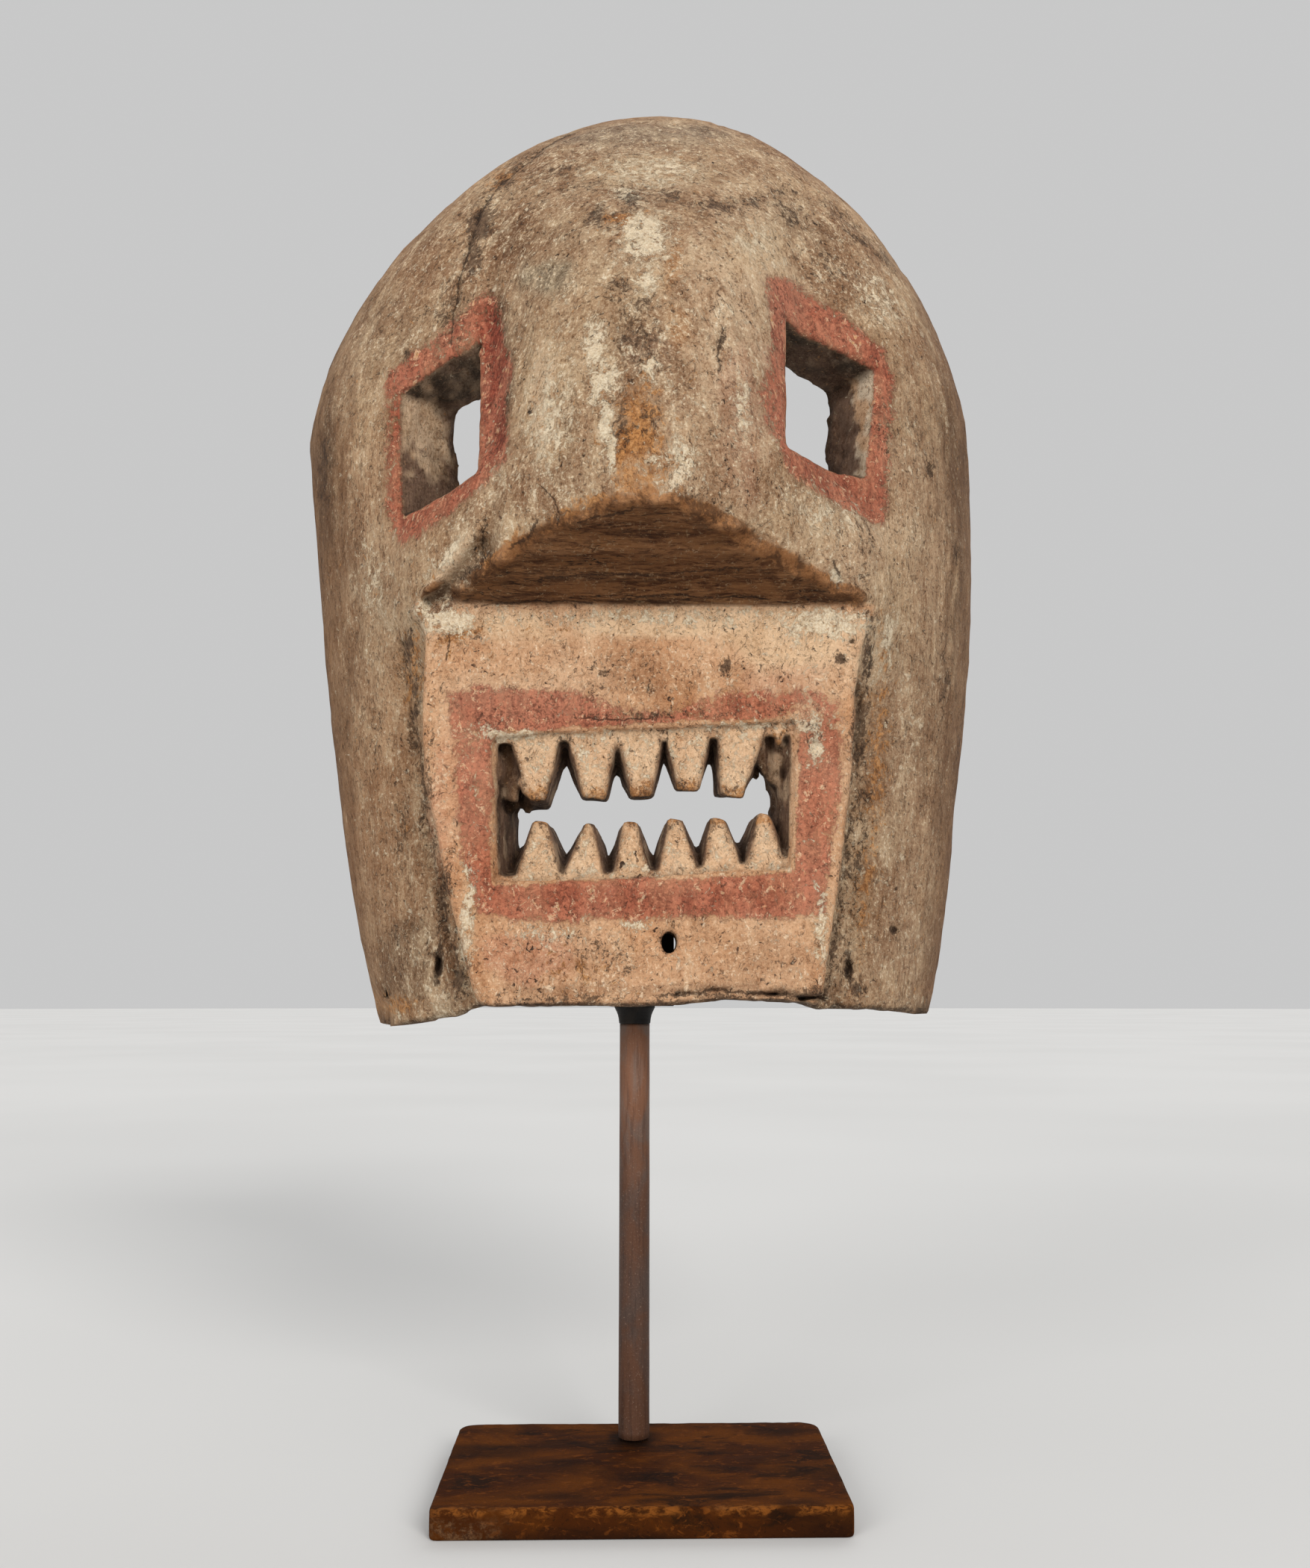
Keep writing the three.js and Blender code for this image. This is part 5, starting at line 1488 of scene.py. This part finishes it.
def fitting_mesh():
    """Neck that flares from the rod into a block inside the chin, with two screw heads on its back."""
    corners, faces = turned(NECK, 48, ROD_AT)
    (x0, y0, z0), (x1, y1, z1) = FITTING_BLOCK
    base = len(corners)
    for z in (z0, z1):
        corners += [(x0, y0, z), (x1, y0, z), (x1, y1, z), (x0, y1, z)]
    for face in ((3, 2, 1, 0), (4, 5, 6, 7), (0, 1, 5, 4), (1, 2, 6, 5), (2, 3, 7, 6), (3, 0, 4, 7)):
        faces.append(tuple(base + k for k in face))
    for z in SCREWS_Z:
        head, sides = turned(SCREW_HEAD, 24, (0, 0))
        base = len(corners)
        corners += [(ROD_AT[0] + a, y1 - 0.2 + c, z - b) for a, b, c in head]
        faces += [tuple(base + k for k in f) for f in sides]
    mesh = mesh_from("mount_fitting", corners, faces)
    return modified(held(mesh), mesh.name, "BEVEL", width=0.9 * MM, segments=3, limit_method="ANGLE",
                    angle_limit=math.radians(40))


# Build
field, axes = carve()
corners, faces = surface(field)
corners = settle(field, corners, faces)
corners = corners * STEP + np.array([axis[0] for axis in axes])
corners, faces = largest_body(corners, faces)
low, high = [np.array(corner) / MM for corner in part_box("mask")]
corners = np.clip(corners, low - PAST_BOX, high + PAST_BOX)
mask_mesh = thin_out(new_mesh("dense", corners, faces), TRIANGLES)
paint(mask_mesh)
smooth_all(mask_mesh)
add_piece("mask_carving", mask_mesh, painted_wood(), "painted_wood", "mask")

rod = rod_mesh()
smooth_all(rod)
add_piece("stand_rod", rod, rod_steel(), "rod_steel", "rod")
plate = plate_mesh()
smooth_all(plate)
add_piece("stand_plate", plate, rusted_steel(), "rusted_steel", "base_plate")
add_piece("mount_fitting", fitting_mesh(), black_steel(), "black_steel", "mount_block")

# Floor, lights and camera
FLOOR_RINGS = [0.3, 0.8, 2.0, 5.0, 12.0, 30.0]
# Azimuth from straight in front, more than nought to the viewer's right, elevation, strength, angle, colour
LIGHTS = {"key": (26, 26, 1.94, 26, (1.0, 0.975, 0.94)), "fill": (-38, 18, 1.36, 32, (1.0, 0.98, 0.95)),
          "back": (165, 40, 0.7, 50, (1, 1, 1))}
WORLD_STRENGTH = 0.58
SENSOR_WIDTH = 36.0
scene = bpy.context.scene


def floor_material():
    g = Graph("studio_floor")
    colour = g.mix(g.noise(900, 2, 0.5).step(0.3, 0.7), (0.60, 0.60, 0.595), (0.63, 0.63, 0.625))
    return g.finish(Base_Color=colour, Roughness=0.9, Specular_IOR_Level=0.1)


def add_floor():
    sides = 96
    corners = [(0.0, 0.0, 0.0)]
    for r in FLOOR_RINGS:
        for i in range(sides):
            a = 2 * math.pi * i / sides
            corners.append((r * math.cos(a), r * math.sin(a), 0.0))
    faces = [(0, 1 + i, 1 + (i + 1) % sides) for i in range(sides)]
    for row in range(len(FLOOR_RINGS) - 1):
        for i in range(sides):
            j = (i + 1) % sides
            a, b = 1 + row * sides, 1 + (row + 1) * sides
            faces.append((a + i, b + i, b + j, a + j))
    mesh = bpy.data.meshes.new("studio_floor")
    mesh.from_pydata(corners, [], faces)
    mesh.update()
    mesh.materials.append(floor_material())
    floor = bpy.data.objects.new("studio_floor", mesh)
    scene.collection.objects.link(floor)


def add_sun(name, azimuth, elevation, strength, angle, colour):
    """Soft light from far off."""
    lamp = bpy.data.lights.new(name, "SUN")
    lamp.energy = strength
    lamp.angle = math.radians(angle)
    lamp.color = colour
    light = bpy.data.objects.new(name, lamp)
    a, e = math.radians(azimuth), math.radians(elevation)
    toward = Vector((math.sin(a) * math.cos(e), -math.cos(a) * math.cos(e), math.sin(e)))
    light.location = toward * 2
    light.rotation_euler = toward.to_track_quat("Z", "Y").to_euler()
    scene.collection.objects.link(light)


add_floor()
for name, light in LIGHTS.items():
    add_sun(name, *light)

world = bpy.data.worlds.new("studio")
world.use_nodes = True
world.node_tree.nodes["Background"].inputs["Color"].default_value = (1.0, 1.0, 1.0, 1)
world.node_tree.nodes["Background"].inputs["Strength"].default_value = WORLD_STRENGTH
scene.world = world
scene.view_settings.view_transform = "Standard"
scene.view_settings.look = "None"

lens = bpy.data.cameras.new("photo_view")
lens.sensor_fit = "AUTO"
lens.sensor_width = SENSOR_WIDTH
lens.lens = FOCAL_PX / IMAGE[1] * SENSOR_WIDTH
lens.clip_start = 0.01
lens.clip_end = 100.0
camera = bpy.data.objects.new("photo_view", lens)
camera.location = Vector(EYE * MM)
camera.rotation_euler = (math.pi / 2 + PITCH, 0.0, -YAW)
scene.collection.objects.link(camera)
scene.camera = camera
